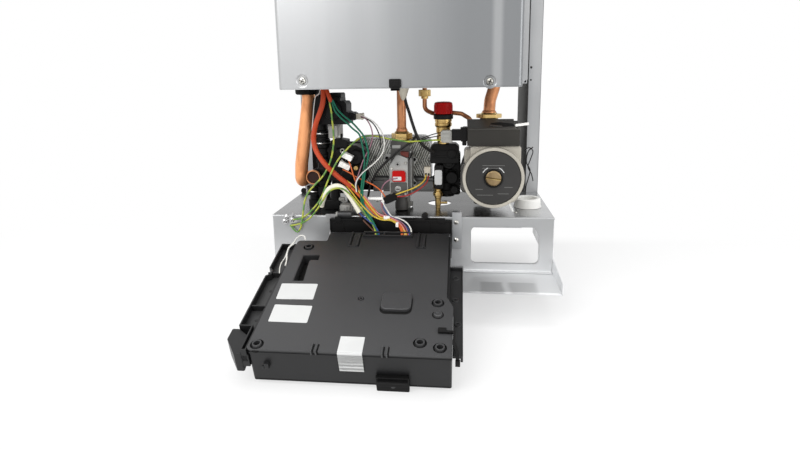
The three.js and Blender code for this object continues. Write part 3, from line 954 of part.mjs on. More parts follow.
// Box lid with its wire ridge, ribs, pad, bosses and pocket
{
  const b = BOX;
  const foot = -b.lid / 4;
  const s = BOX_SHARES;
  const lid = prism(boxEdge(0), "z", -b.lid, 0);
  const r = RIDGE;
  const ridge = prism(lie(rect([boxAcross(s.ridgeLeft), boxAcross(s.ridgeRight)], [r.near, r.far])), "z", foot, r.high);
  const ribs = [...s.ribs.map((share) => [boxAcross(share), RIB.wide, RIB.near, RIB.far]),
    ...s.farRibs.map((share) => [boxAcross(share), RIB.farWide, b.length - RIB.end, b.length - RIB.endGap])]
    .map(([x, wide, u0, u1]) => prism(lie(rect([x, x + wide], [u0, u1])), "z", foot, RIB.high));
  const padX = boxAcross(s.pad);
  const pad = prism(lie(rounded(rect([padX - PAD.half, padX + PAD.half], [PAD.near, PAD.far]), PAD.round, 3)), "z",
    foot, PAD.high);
  const o = BOSS;
  const spots = [[BOX_LEFT + o.left, o.near], [BOX_LEFT + o.farLeft, b.length - o.farGap],
    [BOX_RIGHT - o.jogIn, o.jogU], [BOX_FAR - o.farRight, b.length - o.farRightGap],
    [BOX_FAR - o.corner, b.length - o.cornerGap]];
  const bosses = spots.map(([x, u]) => rod(o.r, "z", [x, -u, 0], foot, o.high));
  const holes = [...spots, [boxAcross(s.hole), o.holeU]].map(([x, u]) =>
    rod(o.hole, "z", [x, -u, 0], -b.lid - OVER, o.high + OVER, SMALL));
  const entries = s.entries.map((share) =>
    rod(r.hole, "z", [boxAcross(share), -r.u, 0], -b.lid - OVER, r.high + OVER, SMALL));
  const pocketX = BOX_LEFT + POCKET.left;
  const pocket = prism(lie(POCKET.outline.map(([x, u]) => [pocketX + x, u])), "z", -POCKET.deep, OVER);
  piece("box_lid", cut(join(lid, ridge, ...ribs, pad, ...bosses), ...holes, ...entries, pocket), "charcoal", box);
}

// Side flange, foot and latch of the box
{
  const b = BOX;
  const f = FLANGE;
  const outer = BOX_RIGHT + f.out;
  const plate = prism(lie([[BOX_RIGHT, f.near], [outer, f.near], [outer, b.length - f.end],
    [BOX_FAR, b.length - f.end], [BOX_FAR, b.jogEnd], [BOX_RIGHT, f.start]]), "z", f.low, f.high);
  const spots = [...MARK.us.map((u) => [BOX_RIGHT + MARK.in, u]), [BOX_RIGHT + MARK.farIn, b.length - MARK.end]];
  const marks = spots.map(([x, u]) => rod(MARK.r, "z", [x, -u, 0], MARK.low, MARK.high, SMALL));
  const web = slab([BOX_RIGHT, BOX_RIGHT + f.web], [-f.webEnd, -f.near], [f.webLow, f.high]);
  piece("box_side_flange", join(plate, web, ...marks), "black", box);
  const t = FOOT;
  piece("box_front_bracket", join(
    slab(BOX_SHARES.foot.map(boxAcross), [-b.length - t.out, -b.length + t.bite], [t.low, t.high]),
    slab(BOX_SHARES.footPad.map(boxAcross), [-b.length - t.padOut, -b.length - t.padIn],
      [t.padLow, t.padHigh])), "black", box);
  const outline = LATCH.outline.map(([x, u]) => [BOX_RIGHT + x, b.length + u]);
  piece("box_latch", prism(lie(rounded(outline, LATCH.round, 1)), "z", GAP, LATCH.high), "black", box);
}

// Circuit board with its parts, and the two setting knobs below the box
{
  const d = BOARD;
  const x = [BOX_LEFT + d.left, BOX_RIGHT - d.right];
  const u = [d.near, BOX.length - d.far];
  const at = ([from, to], share) => from + share * (to - from);
  const board = prism(lie(rect(x, u)), "z", d.low, d.low + d.thick);
  const parts = BOARD_PART_SHARES.map(([left, near, wide, long], i) => prism(lie(rect(
    [at(x, left), at(x, left + wide)], [at(u, near), at(u, near + long)])), "z",
  d.low + d.thick - d.bite, d.low + d.thick + BOARD_PART_HIGH[i]));
  piece("circuit_board", join(board, ...parts), "board", box);
  const k = KNOB;
  ["left", "right"].forEach((side, i) => {
    const kx = boxAcross(BOX_SHARES.knobs[i]);
    const grip = k.grip / 2;
    piece("control_knob_" + side, join(
      rod(k.r, "z", [kx, -k.u, 0], -BOX.depth - k.high, -BOX.depth - GAP, FINE),
      rod(k.stem, "z", [kx, -k.u, 0], -BOX.depth - BITE, -BOX.depth + k.reach, SMALL),
      slab([kx - grip, kx + grip], [-k.u - k.gripLong / 2, -k.u + k.gripLong / 2],
        [-BOX.depth - k.high - k.gripHigh + BITE, -BOX.depth - k.high + BITE])), "greyPlastic", box);
  });
}

root.position.set(0, -WALL_Y, -ORIGIN_Z);
export default root;
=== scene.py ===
"""A wall-hung gas boiler with its case off and its control box hinged down.

Lengths are millimetres from the middle of the front edge of the base's
underside, with X to the right, Y back to the wall and Z up. ROW takes them
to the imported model's frame in metres.
"""
import json
import math

import bmesh
import bpy
from mathutils import Matrix, Vector


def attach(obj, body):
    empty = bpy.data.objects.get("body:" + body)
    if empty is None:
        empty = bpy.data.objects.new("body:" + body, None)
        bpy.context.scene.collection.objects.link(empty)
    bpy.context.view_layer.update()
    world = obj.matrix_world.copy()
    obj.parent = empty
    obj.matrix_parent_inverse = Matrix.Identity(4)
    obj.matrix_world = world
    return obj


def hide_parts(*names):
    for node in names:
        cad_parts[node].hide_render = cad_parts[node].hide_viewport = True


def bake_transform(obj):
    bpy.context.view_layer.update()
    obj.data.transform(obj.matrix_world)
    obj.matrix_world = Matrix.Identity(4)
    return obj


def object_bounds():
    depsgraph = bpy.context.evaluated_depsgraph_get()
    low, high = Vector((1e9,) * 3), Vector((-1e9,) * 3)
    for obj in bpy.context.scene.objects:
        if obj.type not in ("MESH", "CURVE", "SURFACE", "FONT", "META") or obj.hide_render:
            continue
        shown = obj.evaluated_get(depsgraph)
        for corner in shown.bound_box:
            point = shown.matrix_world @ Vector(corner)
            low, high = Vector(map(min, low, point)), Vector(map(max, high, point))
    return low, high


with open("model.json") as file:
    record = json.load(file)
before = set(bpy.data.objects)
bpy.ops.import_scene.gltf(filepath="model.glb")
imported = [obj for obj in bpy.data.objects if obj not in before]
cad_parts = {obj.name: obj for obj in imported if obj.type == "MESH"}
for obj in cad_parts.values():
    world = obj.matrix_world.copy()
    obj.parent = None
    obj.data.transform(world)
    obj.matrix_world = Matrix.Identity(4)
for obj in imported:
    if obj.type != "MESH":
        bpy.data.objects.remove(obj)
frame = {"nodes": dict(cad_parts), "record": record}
cad_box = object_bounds()

# Places of the two frames that pieces are drawn in
MM = 0.001
ROW = Matrix.Scale(MM, 4) @ Matrix.Translation((0, -205, -40))
SLOPE = math.radians(16)
BOX_BACK = Vector((0, -27, 63))
BOX = (ROW @ Matrix.Translation(BOX_BACK) @ Matrix.Rotation(SLOPE, 4, "X")
       @ Matrix.Diagonal((1, -1, 1, 1)))


# Meshes and objects
def as_mesh(name, bm, sharp=None):
    """A mesh from a drawn solid, smooth up to an angle in degrees where one is given."""
    mesh = bpy.data.meshes.new(name)
    bm.to_mesh(mesh)
    bm.free()
    if sharp is not None:
        mesh.shade_smooth()
        mesh.set_sharp_from_angle(angle=math.radians(sharp))
    return mesh


def as_object(name, data):
    made = bpy.data.objects.new(name, data)
    bpy.context.collection.objects.link(made)
    return made


# Shader maths
class Value:
    """A node's output socket that Python's operators work on."""

    def __init__(self, finish, socket):
        self.finish = finish
        self.socket = socket

    def maths(self, operation, *others):
        values = dict(enumerate((self, *others)))
        return self.finish.node("ShaderNodeMath", {"operation": operation}, values)

    def __add__(self, other):
        return self.maths("ADD", other)

    def __sub__(self, other):
        return self.maths("SUBTRACT", other)

    def __rsub__(self, other):
        return self.finish.number(other).maths("SUBTRACT", self)

    def __mul__(self, other):
        return self.maths("MULTIPLY", other)

    __radd__ = __add__
    __rmul__ = __mul__


class Finish:
    """A procedural material, built one node at a time."""

    def __init__(self, name):
        self.material = bpy.data.materials.new(name)
        self.material.use_nodes = True
        self.tree = self.material.node_tree
        self.shader = self.tree.nodes["Principled BSDF"]
        self.place = Value(self, self.tree.nodes.new("ShaderNodeTexCoord").outputs["Object"])

    def feed(self, socket, value):
        if isinstance(value, Value):
            self.tree.links.new(value.socket, socket)
        else:
            socket.default_value = value

    def node(self, kind, settings, inputs, output=0):
        made = self.tree.nodes.new(kind)
        for key, setting in settings.items():
            setattr(made, key, setting)
        for key, value in inputs.items():
            self.feed(made.inputs[key], value)
        return Value(self, made.outputs[output])

    def number(self, value):
        return self.node("ShaderNodeMath", {"operation": "ADD"}, {0: value, 1: 0.0})

    def along(self, axis):
        """How far a point lies along X, Y or Z, in metres."""
        return self.node("ShaderNodeSeparateXYZ", {}, {"Vector": self.place},
                         output="XYZ".index(axis))

    def noise(self, stretch, detail=2.0, rough=0.5, seed=0.0):
        """Noise with so many cells a metre along X, Y and Z."""
        at = self.node("ShaderNodeMapping", {}, {
            "Vector": self.place, "Scale": stretch, "Location": (seed, seed, seed)})
        return self.node("ShaderNodeTexNoise", {}, {
            "Vector": at, "Scale": 1.0, "Detail": detail, "Roughness": rough})

    def between(self, share, low, high, first=0.0, last=1.0):
        """A value that goes from low to high while share goes from first to last."""
        return self.node("ShaderNodeMapRange", {}, {
            "Value": share, "From Min": first, "From Max": last, "To Min": low, "To Max": high})

    def band(self, share, low, high):
        """0 below low, 1 above high and a smooth step between."""
        return self.node("ShaderNodeMapRange", {"interpolation_type": "SMOOTHSTEP"}, {
            "Value": share, "From Min": low, "From Max": high})

    def strip(self, share, rise, fall):
        """1 between two smooth steps, each given by its start and its end, and 0 outside them."""
        return self.band(share, *rise) * (1 - self.band(share, *fall))

    def mixed(self, share, first, second):
        """Two colours, each as a colour picker names it, mixed by share."""
        return self.node("ShaderNodeMix", {"data_type": "RGBA"}, {
            0: share, 6: srgb(*first), 7: srgb(*second)}, output=2)

    def bump(self, height, depth_mm, strength):
        normal = self.node("ShaderNodeBump", {}, {
            "Height": height, "Distance": depth_mm * MM, "Strength": strength})
        self.feed(self.shader.inputs["Normal"], normal)

    def rolled_grain(self, seed=0.0):
        self.bump(self.noise((900, 900, 60), seed=seed), 0.02, 0.25)

    def moulded_grain(self, depth_mm):
        self.bump(self.noise((1100, 1100, 1100)), depth_mm, 0.4)

    def set(self, **values):
        names = {"colour": "Base Color", "rough": "Roughness", "metal": "Metallic",
                 "gloss": "Specular IOR Level"}
        for key, value in values.items():
            self.feed(self.shader.inputs[names[key]], value)
        return self.material


def srgb(red, green, blue):
    """A solid colour from channels of 0 to 255, as a colour picker names it."""
    shares = (channel / 255 for channel in (red, green, blue))
    return (*(s / 12.92 if s <= 0.04045 else ((s + 0.055) / 1.055) ** 2.4 for s in shares), 1.0)


# Recipes that several finishes share
def sheet_steel(name, light, dark, metal=0.85, seed=0.0):
    """Rolled sheet: long soft streaks, faint cloudiness and fine grain."""
    f = Finish(name)
    cloud = f.noise((9, 9, 7), seed=seed)
    streaks = f.noise((26, 26, 1.2), detail=3.0, seed=seed + 3)
    share = f.band(cloud * 0.45 + streaks * 0.55, 0.34, 0.66)
    f.rolled_grain(seed + 5)
    return f.set(colour=f.mixed(share, dark, light), metal=metal,
                 rough=f.between(streaks, 0.27, 0.41))


def polished(name, bright, dull, rough, metal=1.0):
    """Drawn copper, brass or plated steel with duller patches."""
    f = Finish(name)
    patches = f.band(f.noise((60, 60, 30), detail=3.0), 0.42, 0.68)
    f.bump(f.noise((1400, 1400, 300)), 0.01, 0.3)
    return f.set(colour=f.mixed(patches, bright, dull), metal=metal,
                 rough=f.between(patches, rough, rough + 0.2))


def cast(name, colour, pale, metal):
    """Sand-cast or blasted metal with a grain that catches the light."""
    f = Finish(name)
    pits = f.noise((420, 420, 420), detail=4.0, rough=0.6)
    tone = f.band(f.noise((22, 22, 22)), 0.35, 0.7)
    f.bump(pits, 0.12, 0.6)
    return f.set(colour=f.mixed(tone, colour, pale), metal=metal, rough=f.between(pits, 0.42, 0.6))


def moulded(name, colour, pale, rough=0.42, depth=0.03, gloss=0.5):
    """Moulded plastic or rubber with a spark-eroded grain."""
    f = Finish(name)
    tone = f.band(f.noise((14, 14, 14), detail=3.0), 0.36, 0.7)
    f.moulded_grain(depth)
    return f.set(colour=f.mixed(tone, colour, pale), rough=f.between(tone, rough, rough + 0.09),
                 gloss=gloss)


def cover_steel_painted_reflection(name, left, right):
    """The cover's sheet with painted reflection: lighter towards the left, with soft upright bands
    that are partly painted reflection, and a painted glint.
    """
    f = Finish(name)
    across = f.along("X")
    rolled_bands_and_painted_reflection = f.noise((19, 2, 0.8), detail=2.0, seed=3.4)
    fine = f.noise((90, 40, 2.0), detail=3.0, seed=7.0)
    # painted highlight: a narrow upright glint that lightens the sheet
    painted_glint = f.strip(across, (0.105, 0.112), (0.116, 0.123)) * 0.5
    # painted reflection: the sheet darkens from left to right
    share = f.band(across + rolled_bands_and_painted_reflection * 0.07 + fine * 0.02, -0.11, 0.13) - painted_glint
    f.rolled_grain()
    return f.set(colour=f.mixed(share, left, right), metal=0.85, rough=f.between(fine, 0.26, 0.4))


def panel_steel_painted_shade(name, low, high):
    """The base's upright sheet with painted shade: darker towards the top and lighter towards the
    floor.
    """
    f = Finish(name)
    height = f.along("Z")
    cloud = f.noise((14, 14, 9), detail=3.0, seed=5.0)
    # painted shade: the colour darkens with height
    share = f.band(height + cloud * 0.03, -0.04, 0.045)
    f.rolled_grain()
    return f.set(colour=f.mixed(share, low, high), metal=0.5, rough=f.between(cloud, 0.3, 0.42))


def lip_steel_painted_reflections(name, bright, dull):
    """The base's front shelf with painted reflections: darker in two wide patches near its front
    and bright towards its right end.
    """
    f = Finish(name)
    across = f.along("X")
    cloud = f.noise((14, 14, 9), detail=3.0, seed=9.0)
    edge = across + cloud * 0.012
    depth = f.along("Y")
    near = 1 - f.band(depth, -0.249, -0.243)
    # painted reflections: two darker patches near the shelf's front edge
    first = f.strip(edge, (0.1, 0.108), (0.13, 0.137))
    second = f.strip(edge, (0.138, 0.146), (0.172, 0.182))
    # painted light: brighter towards the shelf's right end
    share = f.band(edge, 0.09, 0.19) * 0.8 + 0.3 - (first + second) * near * 0.5
    f.rolled_grain()
    return f.set(colour=f.mixed(share, dull, bright), metal=0.45, rough=f.between(cloud, 0.3, 0.42))


def lid_plastic(name, back, front):
    """The control box's lid: moulded plastic with a painted reflection that makes it paler towards
    its free edge.
    """
    f = Finish(name)
    depth = f.along("Y")
    tone = f.noise((14, 14, 14), detail=3.0)
    # painted reflection: darker at the hinge side, paler towards the free edge
    share = f.band(depth * -1 + tone * 0.02, 0.245, 0.34)
    f.moulded_grain(0.03)
    return f.set(colour=f.mixed(share, back, front), rough=f.between(tone, 0.34, 0.43), gloss=0.4)


def plate_steel_painted_reflection(name, dark, light):
    """The base's top plate with painted reflection and shade: dark among the fittings, bright
    towards its free ends.
    """
    f = Finish(name)
    across = f.along("X")
    cloud = f.noise((12, 30, 30), detail=3.0, seed=2.0)
    # painted light: the plate's left end made brighter
    painted_left_light = (1 - f.band(across + cloud * 0.05, -0.15, -0.05)) * 0.45
    # painted reflection and shade: dark among the fittings, bright towards the right end
    share = f.band(across + cloud * 0.04, 0.118, 0.165) + painted_left_light
    return f.set(colour=f.mixed(share, dark, light), metal=0.85, rough=f.between(cloud, 0.2, 0.32))


# Finishes
FINISHES = {
    "sheet": sheet_steel("zinc_sheet", (190, 191, 192), (158, 160, 162)),
    # the base's front sheet carries painted shade that darkens with height
    "base_sheet": panel_steel_painted_shade("base_sheet", (224, 225, 226), (166, 167, 168)),
    # the lid's finish carries a painted reflection
    "lid_plastic": lid_plastic("lid_plastic", (34, 34, 35), (59, 59, 60)),
    # painted shade: a darker copy of the sheet steel for the rail's deep flange and the exchanger's
    # carrier
    "rail_back": sheet_steel("rail_back", (124, 124, 123), (104, 104, 103), metal=0.5, seed=12.0),
    # the shelf's finish carries painted reflections and painted light
    "lip_sheet": lip_steel_painted_reflections("lip_sheet", (232, 233, 234), (168, 169, 170)),
    # the cover's finish carries a painted reflection and a painted glint
    "bright_sheet": cover_steel_painted_reflection("cover_sheet_painted_reflection", (190, 191, 192), (138, 140, 142)),
    # the top plate's finish carries painted reflection and shade
    "dark_sheet": plate_steel_painted_reflection("plate_sheet_painted_reflection", (42, 42, 42), (182, 183, 184)),
    "screw_steel": polished("zinc_screw", (206, 204, 198), (150, 148, 142), rough=0.22),
    "stainless": polished("stainless_steel", (190, 190, 190), (146, 146, 146), rough=0.25),
    # painted light: a paler, brighter copy of the copper for the flow pipe
    "flow_copper": polished("flow_copper", (244, 172, 118), (214, 146, 98), rough=0.36, metal=0.6),
    "copper": polished("drawn_copper", (208, 144, 100), (166, 108, 74), rough=0.36, metal=0.68),
    "brass": polished("turned_brass", (214, 184, 122), (170, 138, 84), rough=0.26),
    "aluminium": cast("die_cast_aluminium", (158, 158, 156), (184, 184, 180), metal=0.8),
    "grey_cast": cast("painted_casting", (172, 167, 156), (188, 183, 171), metal=0.2),
    "black_plastic": moulded("black_plastic", (13, 13, 13), (21, 20, 20), gloss=0.16),
    "charcoal_plastic": moulded("charcoal_plastic", (44, 44, 45), (55, 55, 55), rough=0.34,
                                gloss=0.4),
    # black_rubber is the seal and grommet rubber, and also painted shade: dark fills in slots,
    # holes and recesses, and painted shadow strips beside ribs and under the lid's pad
    "black_rubber": moulded("black_rubber", (14, 14, 14), (22, 22, 21), rough=0.6, gloss=0.14),
    "white_plastic": moulded("white_plastic", (255, 255, 252), (250, 249, 245)),
    "grey_plastic": moulded("grey_plastic", (152, 151, 147), (168, 167, 161)),
    "red_plastic": moulded("red_plastic", (184, 12, 10), (158, 9, 8), rough=0.3, gloss=0.12),
    "dark_red": moulded("dark_red_plastic", (104, 44, 36), (88, 36, 30), gloss=0.3),
    # painted light and shade: a darker copy of steel for the exchanger's valleys and a paler one
    # for its ridges
    "valley_steel": polished("valley_steel", (140, 140, 134), (112, 112, 108), rough=0.35,
                             metal=0.4),
    "ridge_steel": polished("ridge_steel", (252, 252, 246), (236, 236, 228), rough=0.36, metal=0.3),
    # painted shade: dark copper for the hollow inside the flow pipe's union
    "dark_copper": moulded("dark_copper", (50, 28, 22), (36, 20, 16), gloss=0.2),
    "board": moulded("circuit_board", (24, 80, 46), (32, 96, 56)),
    "box_wall": moulded("box_wall_plastic", (24, 24, 25), (31, 31, 32), rough=0.38, gloss=0.36),
    "beige_plastic": moulded("beige_plastic", (206, 200, 184), (192, 184, 168), rough=0.45),
    "white_label": moulded("label_paper", (212, 213, 212), (204, 205, 204), rough=0.5, depth=0.01),
    "dark_cast": cast("dark_casting", (70, 69, 68), (92, 90, 87), metal=0.4),
    "face_plate": moulded("pump_face", (44, 43, 42), (53, 52, 51), rough=0.36, gloss=0.36),
    "faint_print": moulded("faint_print", (96, 96, 94), (104, 104, 102)),
    # painted highlight: a bright copy of brass for the lit edge of the vent screw's slot
    "bright_brass": polished("bright_brass", (206, 182, 126), (168, 142, 92), rough=0.26),
    "vent_brass": polished("vent_brass", (160, 138, 104), (136, 116, 86), rough=0.36),
    # painted shade: a dark copy of brass for the vent screw's slot
    "dark_brass": polished("dark_brass", (120, 98, 60), (84, 68, 44), rough=0.36),
    "terminal_plastic": moulded("terminal_plastic", (42, 40, 36), (50, 47, 43), gloss=0.3),
    # painted light: a paler copy of the terminal box's plastic for its lid top
    "terminal_lid": moulded("terminal_lid", (50, 48, 44), (70, 67, 62), gloss=0.4),
    "orange_sleeve": moulded("orange_sleeve", (188, 70, 36), (166, 58, 30), rough=0.5, gloss=0.3),
    "green_wire": moulded("green_wire", (20, 110, 84), (16, 92, 70), rough=0.4, gloss=0.3),
    "white_sleeve": moulded("white_sleeve", (240, 236, 220), (230, 225, 206), rough=0.5),
    "blue_wire": moulded("blue_wire", (34, 62, 130), (26, 50, 110), rough=0.4),
    "brown_wire": moulded("brown_wire", (92, 54, 36), (78, 46, 30), rough=0.4),
    "orange_wire": moulded("orange_wire", (214, 104, 44), (196, 90, 34), rough=0.4),
    "mauve_wire": moulded("mauve_wire", (150, 108, 122), (132, 94, 106), rough=0.4),
    "pink_wire": moulded("pink_wire", (206, 132, 130), (190, 116, 116), rough=0.4),
    "yellow_wire": moulded("yellow_wire", (214, 184, 62), (198, 166, 48), rough=0.4),
    "red_wire": moulded("red_wire", (164, 32, 28), (142, 24, 22), rough=0.4),
    "dark_wire": moulded("dark_wire", (22, 21, 21), (32, 31, 30), rough=0.45, gloss=0.3),
    "white_wire": moulded("white_wire", (222, 221, 216), (212, 210, 204), rough=0.4),
}


def striped(name, first, second, pitch_mm):
    """Two-coloured insulation whose long soft stripe winds along the wire."""
    f = Finish(name)
    along = f.along("Z") + f.along("X") * 0.6
    wave = (along * (math.tau / (pitch_mm * MM))).maths("SINE")
    share = f.band(wave, -0.4, 0.6)
    return f.set(colour=f.mixed(share, first, second), rough=0.4)


FINISHES["earth_wire"] = striped("earth_wire", (170, 178, 62), (92, 138, 62), 22)
for part in frame["record"]["subparts"]:
    for place in frame["nodes"][part["node"]].material_slots:
        place.material = FINISHES[part["material_slot"]]

# Camera at the photograph's viewing angle
PICTURE_WIDTH = 800
FOCAL_PIXELS = 540
CAMERA_PLACE = (69.1, -735.0, 272.4)
CAMERA_TURNS = (-6.37, 11.27, 0.90)
camera_data = bpy.data.cameras.new("camera")
camera_data.sensor_width = 36
camera_data.lens = camera_data.sensor_width * FOCAL_PIXELS / PICTURE_WIDTH
camera_data.shift_y = -0.05
camera_data.clip_start = 0.02
camera = as_object("camera", camera_data)
yaw, pitch, roll = (math.radians(angle) for angle in CAMERA_TURNS)
forward = Vector((math.sin(yaw) * math.cos(pitch), math.cos(yaw) * math.cos(pitch),
                  -math.sin(pitch)))
level = Vector((math.cos(yaw), -math.sin(yaw), 0))
down = forward.cross(level)
across = level * math.cos(roll) + down * math.sin(roll)
down = down * math.cos(roll) - level * math.sin(roll)
camera.matrix_world = (Matrix.Translation(ROW @ Vector(CAMERA_PLACE))
                       @ Matrix((across, -down, -forward)).transposed().to_4x4())
bpy.context.scene.camera = camera
bpy.context.scene.view_settings.view_transform = "Standard"

# Floor, world and lamps
FLOOR_Z = cad_box[0][2]
FLOOR_WHITE = (0.45, 1.0)
FLOOR_NEAR, FLOOR_FAR = 0.15, 0.9
FLOOR_HALF_SIZE = 6
WALL_SIDE = (0.0, 0.15)
bm = bmesh.new()
bmesh.ops.create_grid(bm, x_segments=1, y_segments=1, size=FLOOR_HALF_SIZE)
bmesh.ops.translate(bm, verts=bm.verts, vec=(0, 0, FLOOR_Z))
floor_mesh = as_mesh("floor", bm)
floor = as_object("floor", floor_mesh)


def seen_white(tree):
    """1 for a ray from the camera, a mirror or a glass, 0 for one that carries light."""
    ray = tree.nodes.new("ShaderNodeLightPath")
    share = ray.outputs["Is Camera Ray"]
    for kind in ("Is Transmission Ray", "Is Glossy Ray"):
        either = tree.nodes.new("ShaderNodeMath")
        either.operation = "MAXIMUM"
        tree.links.new(share, either.inputs[0])
        tree.links.new(ray.outputs[kind], either.inputs[1])
        share = either.outputs[0]
    return share


f = Finish("floor")
f.set(colour=srgb(250, 250, 250), rough=0.9, gloss=0.0)
apart = f.node("ShaderNodeVectorMath", {"operation": "LENGTH"}, {0: f.place}, output=1)
white = f.between(apart, *FLOOR_WHITE, FLOOR_NEAR, FLOOR_FAR)
glow = f.node("ShaderNodeEmission", {}, {"Color": (1, 1, 1, 1), "Strength": 1.0})
behind = f.band(f.along("Y"), *WALL_SIDE)
share = white.maths("MAXIMUM", behind) * Value(f, seen_white(f.tree))
whole = f.node("ShaderNodeMixShader", {}, {0: share, 1: Value(f, f.shader.outputs[0]), 2: glow})
f.tree.links.new(whole.socket, f.tree.nodes["Material Output"].inputs["Surface"])
floor_mesh.materials.append(f.material)

world = bpy.context.scene.world or bpy.data.worlds.new("world")
bpy.context.scene.world = world
world.use_nodes = True
tree = world.node_tree
back = tree.nodes["Background"]
seen_back = tree.nodes.new("ShaderNodeBackground")
for sky, strength in ((back, 0.62), (seen_back, 1.0)):
    sky.inputs["Color"].default_value = (1, 1, 1, 1)
    sky.inputs["Strength"].default_value = strength
choose = tree.nodes.new("ShaderNodeMixShader")
tree.links.new(seen_white(tree), choose.inputs[0])
tree.links.new(back.outputs[0], choose.inputs[1])
tree.links.new(seen_back.outputs[0], choose.inputs[2])
tree.links.new(choose.outputs[0], tree.nodes["World Output"].inputs["Surface"])


def lamp(name, place, target, size, watts):
    data = bpy.data.lights.new(name, "AREA")
    data.shape = "RECTANGLE"
    data.size, data.size_y = size
    data.energy = watts
    made = as_object(name, data)
    made.location = place
    made.rotation_euler = (Vector(target) - Vector(place)).to_track_quat("-Z", "Y").to_euler()


lamp("key", (-0.9, -1.6, 1.3), (0, -0.2, 0.05), (1.2, 1.2), 22)
lamp("fill", (1.5, -1.3, 0.5), (0, -0.2, 0.1), (0.9, 1.4), 8)
lamp("top", (0.0, -0.5, 1.9), (0, -0.25, 0.0), (1.6, 1.0), 14)


# Modelling: every shape is drawn with bmesh in millimetres, then put in its place
FACING = {"x": Matrix(((0, 0, 1, 0), (1, 0, 0, 0), (0, 1, 0, 0), (0, 0, 0, 1))),
          "y": Matrix(((1, 0, 0, 0), (0, 0, 1, 0), (0, 1, 0, 0), (0, 0, 0, 1))),
          "z": Matrix.Identity(4)}


def rect(left, right, low, high):
    return [(left, low), (right, low), (right, high), (left, high)]


def ring(centre, radius, steps=32):
    turns = (math.tau * i / steps for i in range(steps))
    return [(centre[0] + radius * math.cos(t), centre[1] + radius * math.sin(t)) for t in turns]


def arc(centre, radius, degrees):
    """Points on a circle at the given degrees."""
    return [(centre[0] + radius * math.cos(t), centre[1] + radius * math.sin(t))
            for t in map(math.radians, degrees)]


def rounded(corners, radius, steps=5):
    """An outline whose corners are arcs; radius is one number, or one for each corner."""
    radii = radius if isinstance(radius, (list, tuple)) else [radius] * len(corners)
    outline = []
    for i, size in enumerate(radii):
        here, before, after = (Vector(corners[j % len(corners)]) for j in (i, i - 1, i + 1))
        to_before, to_after = (before - here).normalized(), (after - here).normalized()
        half = to_before.angle(to_after) / 2
        reach = min(size / math.tan(half), (before - here).length * 0.49,
                    (after - here).length * 0.49)
        if reach < 1e-3:
            outline.append(tuple(here))
            continue
        bow = math.pi - 2 * half
        centre = here + (to_before + to_after).normalized() * (reach / math.cos(half))
        first = here + to_before * reach - centre
        way = 1 if to_before.cross(to_after) < 0 else -1
        for k in range(steps + 1):
            turn = Matrix.Rotation(way * bow * k / steps, 2)
            outline.append(tuple(centre + turn @ first))
    return outline


def prism(outline, axis, low, high, holes=()):
    """A flat outline, with holes, drawn out along an axis."""
    bm = bmesh.new()
    edges = []
    for loop in (outline, *holes):
        verts = [bm.verts.new((a, b, low)) for a, b in loop]
        edges += [bm.edges.new((verts[i - 1], verts[i])) for i in range(len(verts))]
    if holes:
        bmesh.ops.triangle_fill(bm, use_beauty=True, edges=edges)
    else:
        bmesh.ops.contextual_create(bm, geom=edges)
    grown = bmesh.ops.extrude_face_region(bm, geom=bm.faces[:])["geom"]
    moved = [g for g in grown if isinstance(g, bmesh.types.BMVert)]
    bmesh.ops.translate(bm, verts=moved, vec=(0, 0, high - low))
    bm.transform(FACING[axis])
    return bm


def block(x, y, z):
    return prism(rect(*x, *y), "z", *z)


def turned(profile, axis, at, steps=40, closed=False):
    """A profile of (radius, place along the axis) turned once about an axis."""
    bm = bmesh.new()
    verts = [bm.verts.new((r, 0, t)) for r, t in profile]
    pairs = list(zip(verts, verts[1:])) + ([(verts[-1], verts[0])] if closed else [])
    edges = [bm.edges.new(pair) for pair in pairs]
    bmesh.ops.spin(bm, geom=verts + edges, cent=(0, 0, 0), axis=(0, 0, 1), dvec=(0, 0, 0),
                   angle=math.tau, steps=steps, use_merge=True, use_duplicate=False)
    bmesh.ops.remove_doubles(bm, verts=bm.verts, dist=1e-3)
    bm.transform(Matrix.Translation(at) @ FACING[axis])
    return bm


def rod(radius, axis, at, low, high, steps=32):
    return turned([(0, low), (radius, low), (radius, high), (0, high)], axis, at, steps)


def sleeve(inner, outer, axis, at, low, high, steps=40):
    return turned([(inner, low), (outer, low), (outer, high), (inner, high)], axis, at, steps,
                  closed=True)


def hexagon(across, axis, at, low, high, hole=0.0):
    radius = across / math.sqrt(3)
    centre = {"x": (at[1], at[2]), "y": (at[0], at[2]), "z": (at[0], at[1])}[axis]
    holes = [ring(centre, hole, 24)] if hole else ()
    return prism(ring(centre, radius, 6), axis, low, high, holes)


def bent(points, radius, steps=7):
    """A run of straight stretches joined by bends of one radius."""
    run = [Vector(points[0])]
    for before, here, after in zip(points, points[1:], points[2:]):
        before, here, after = Vector(before), Vector(here), Vector(after)
        back, on = (before - here).normalized(), (after - here).normalized()
        half = back.angle(on) / 2
        if half > 1.55:
            run.append(here)
            continue
        reach = min(radius / math.tan(half), (before - here).length * 0.48,
                    (after - here).length * 0.48)
        size = reach * math.tan(half)
        centre = here + (back + on).normalized() * (size / math.sin(half))
        first = here + back * reach - centre
        turn_axis = first.cross(here + on * reach - centre)
        run += [centre + Matrix.Rotation((math.pi - 2 * half) * k / steps, 3, turn_axis) @ first
                for k in range(steps + 1)]
    run.append(Vector(points[-1]))
    return run


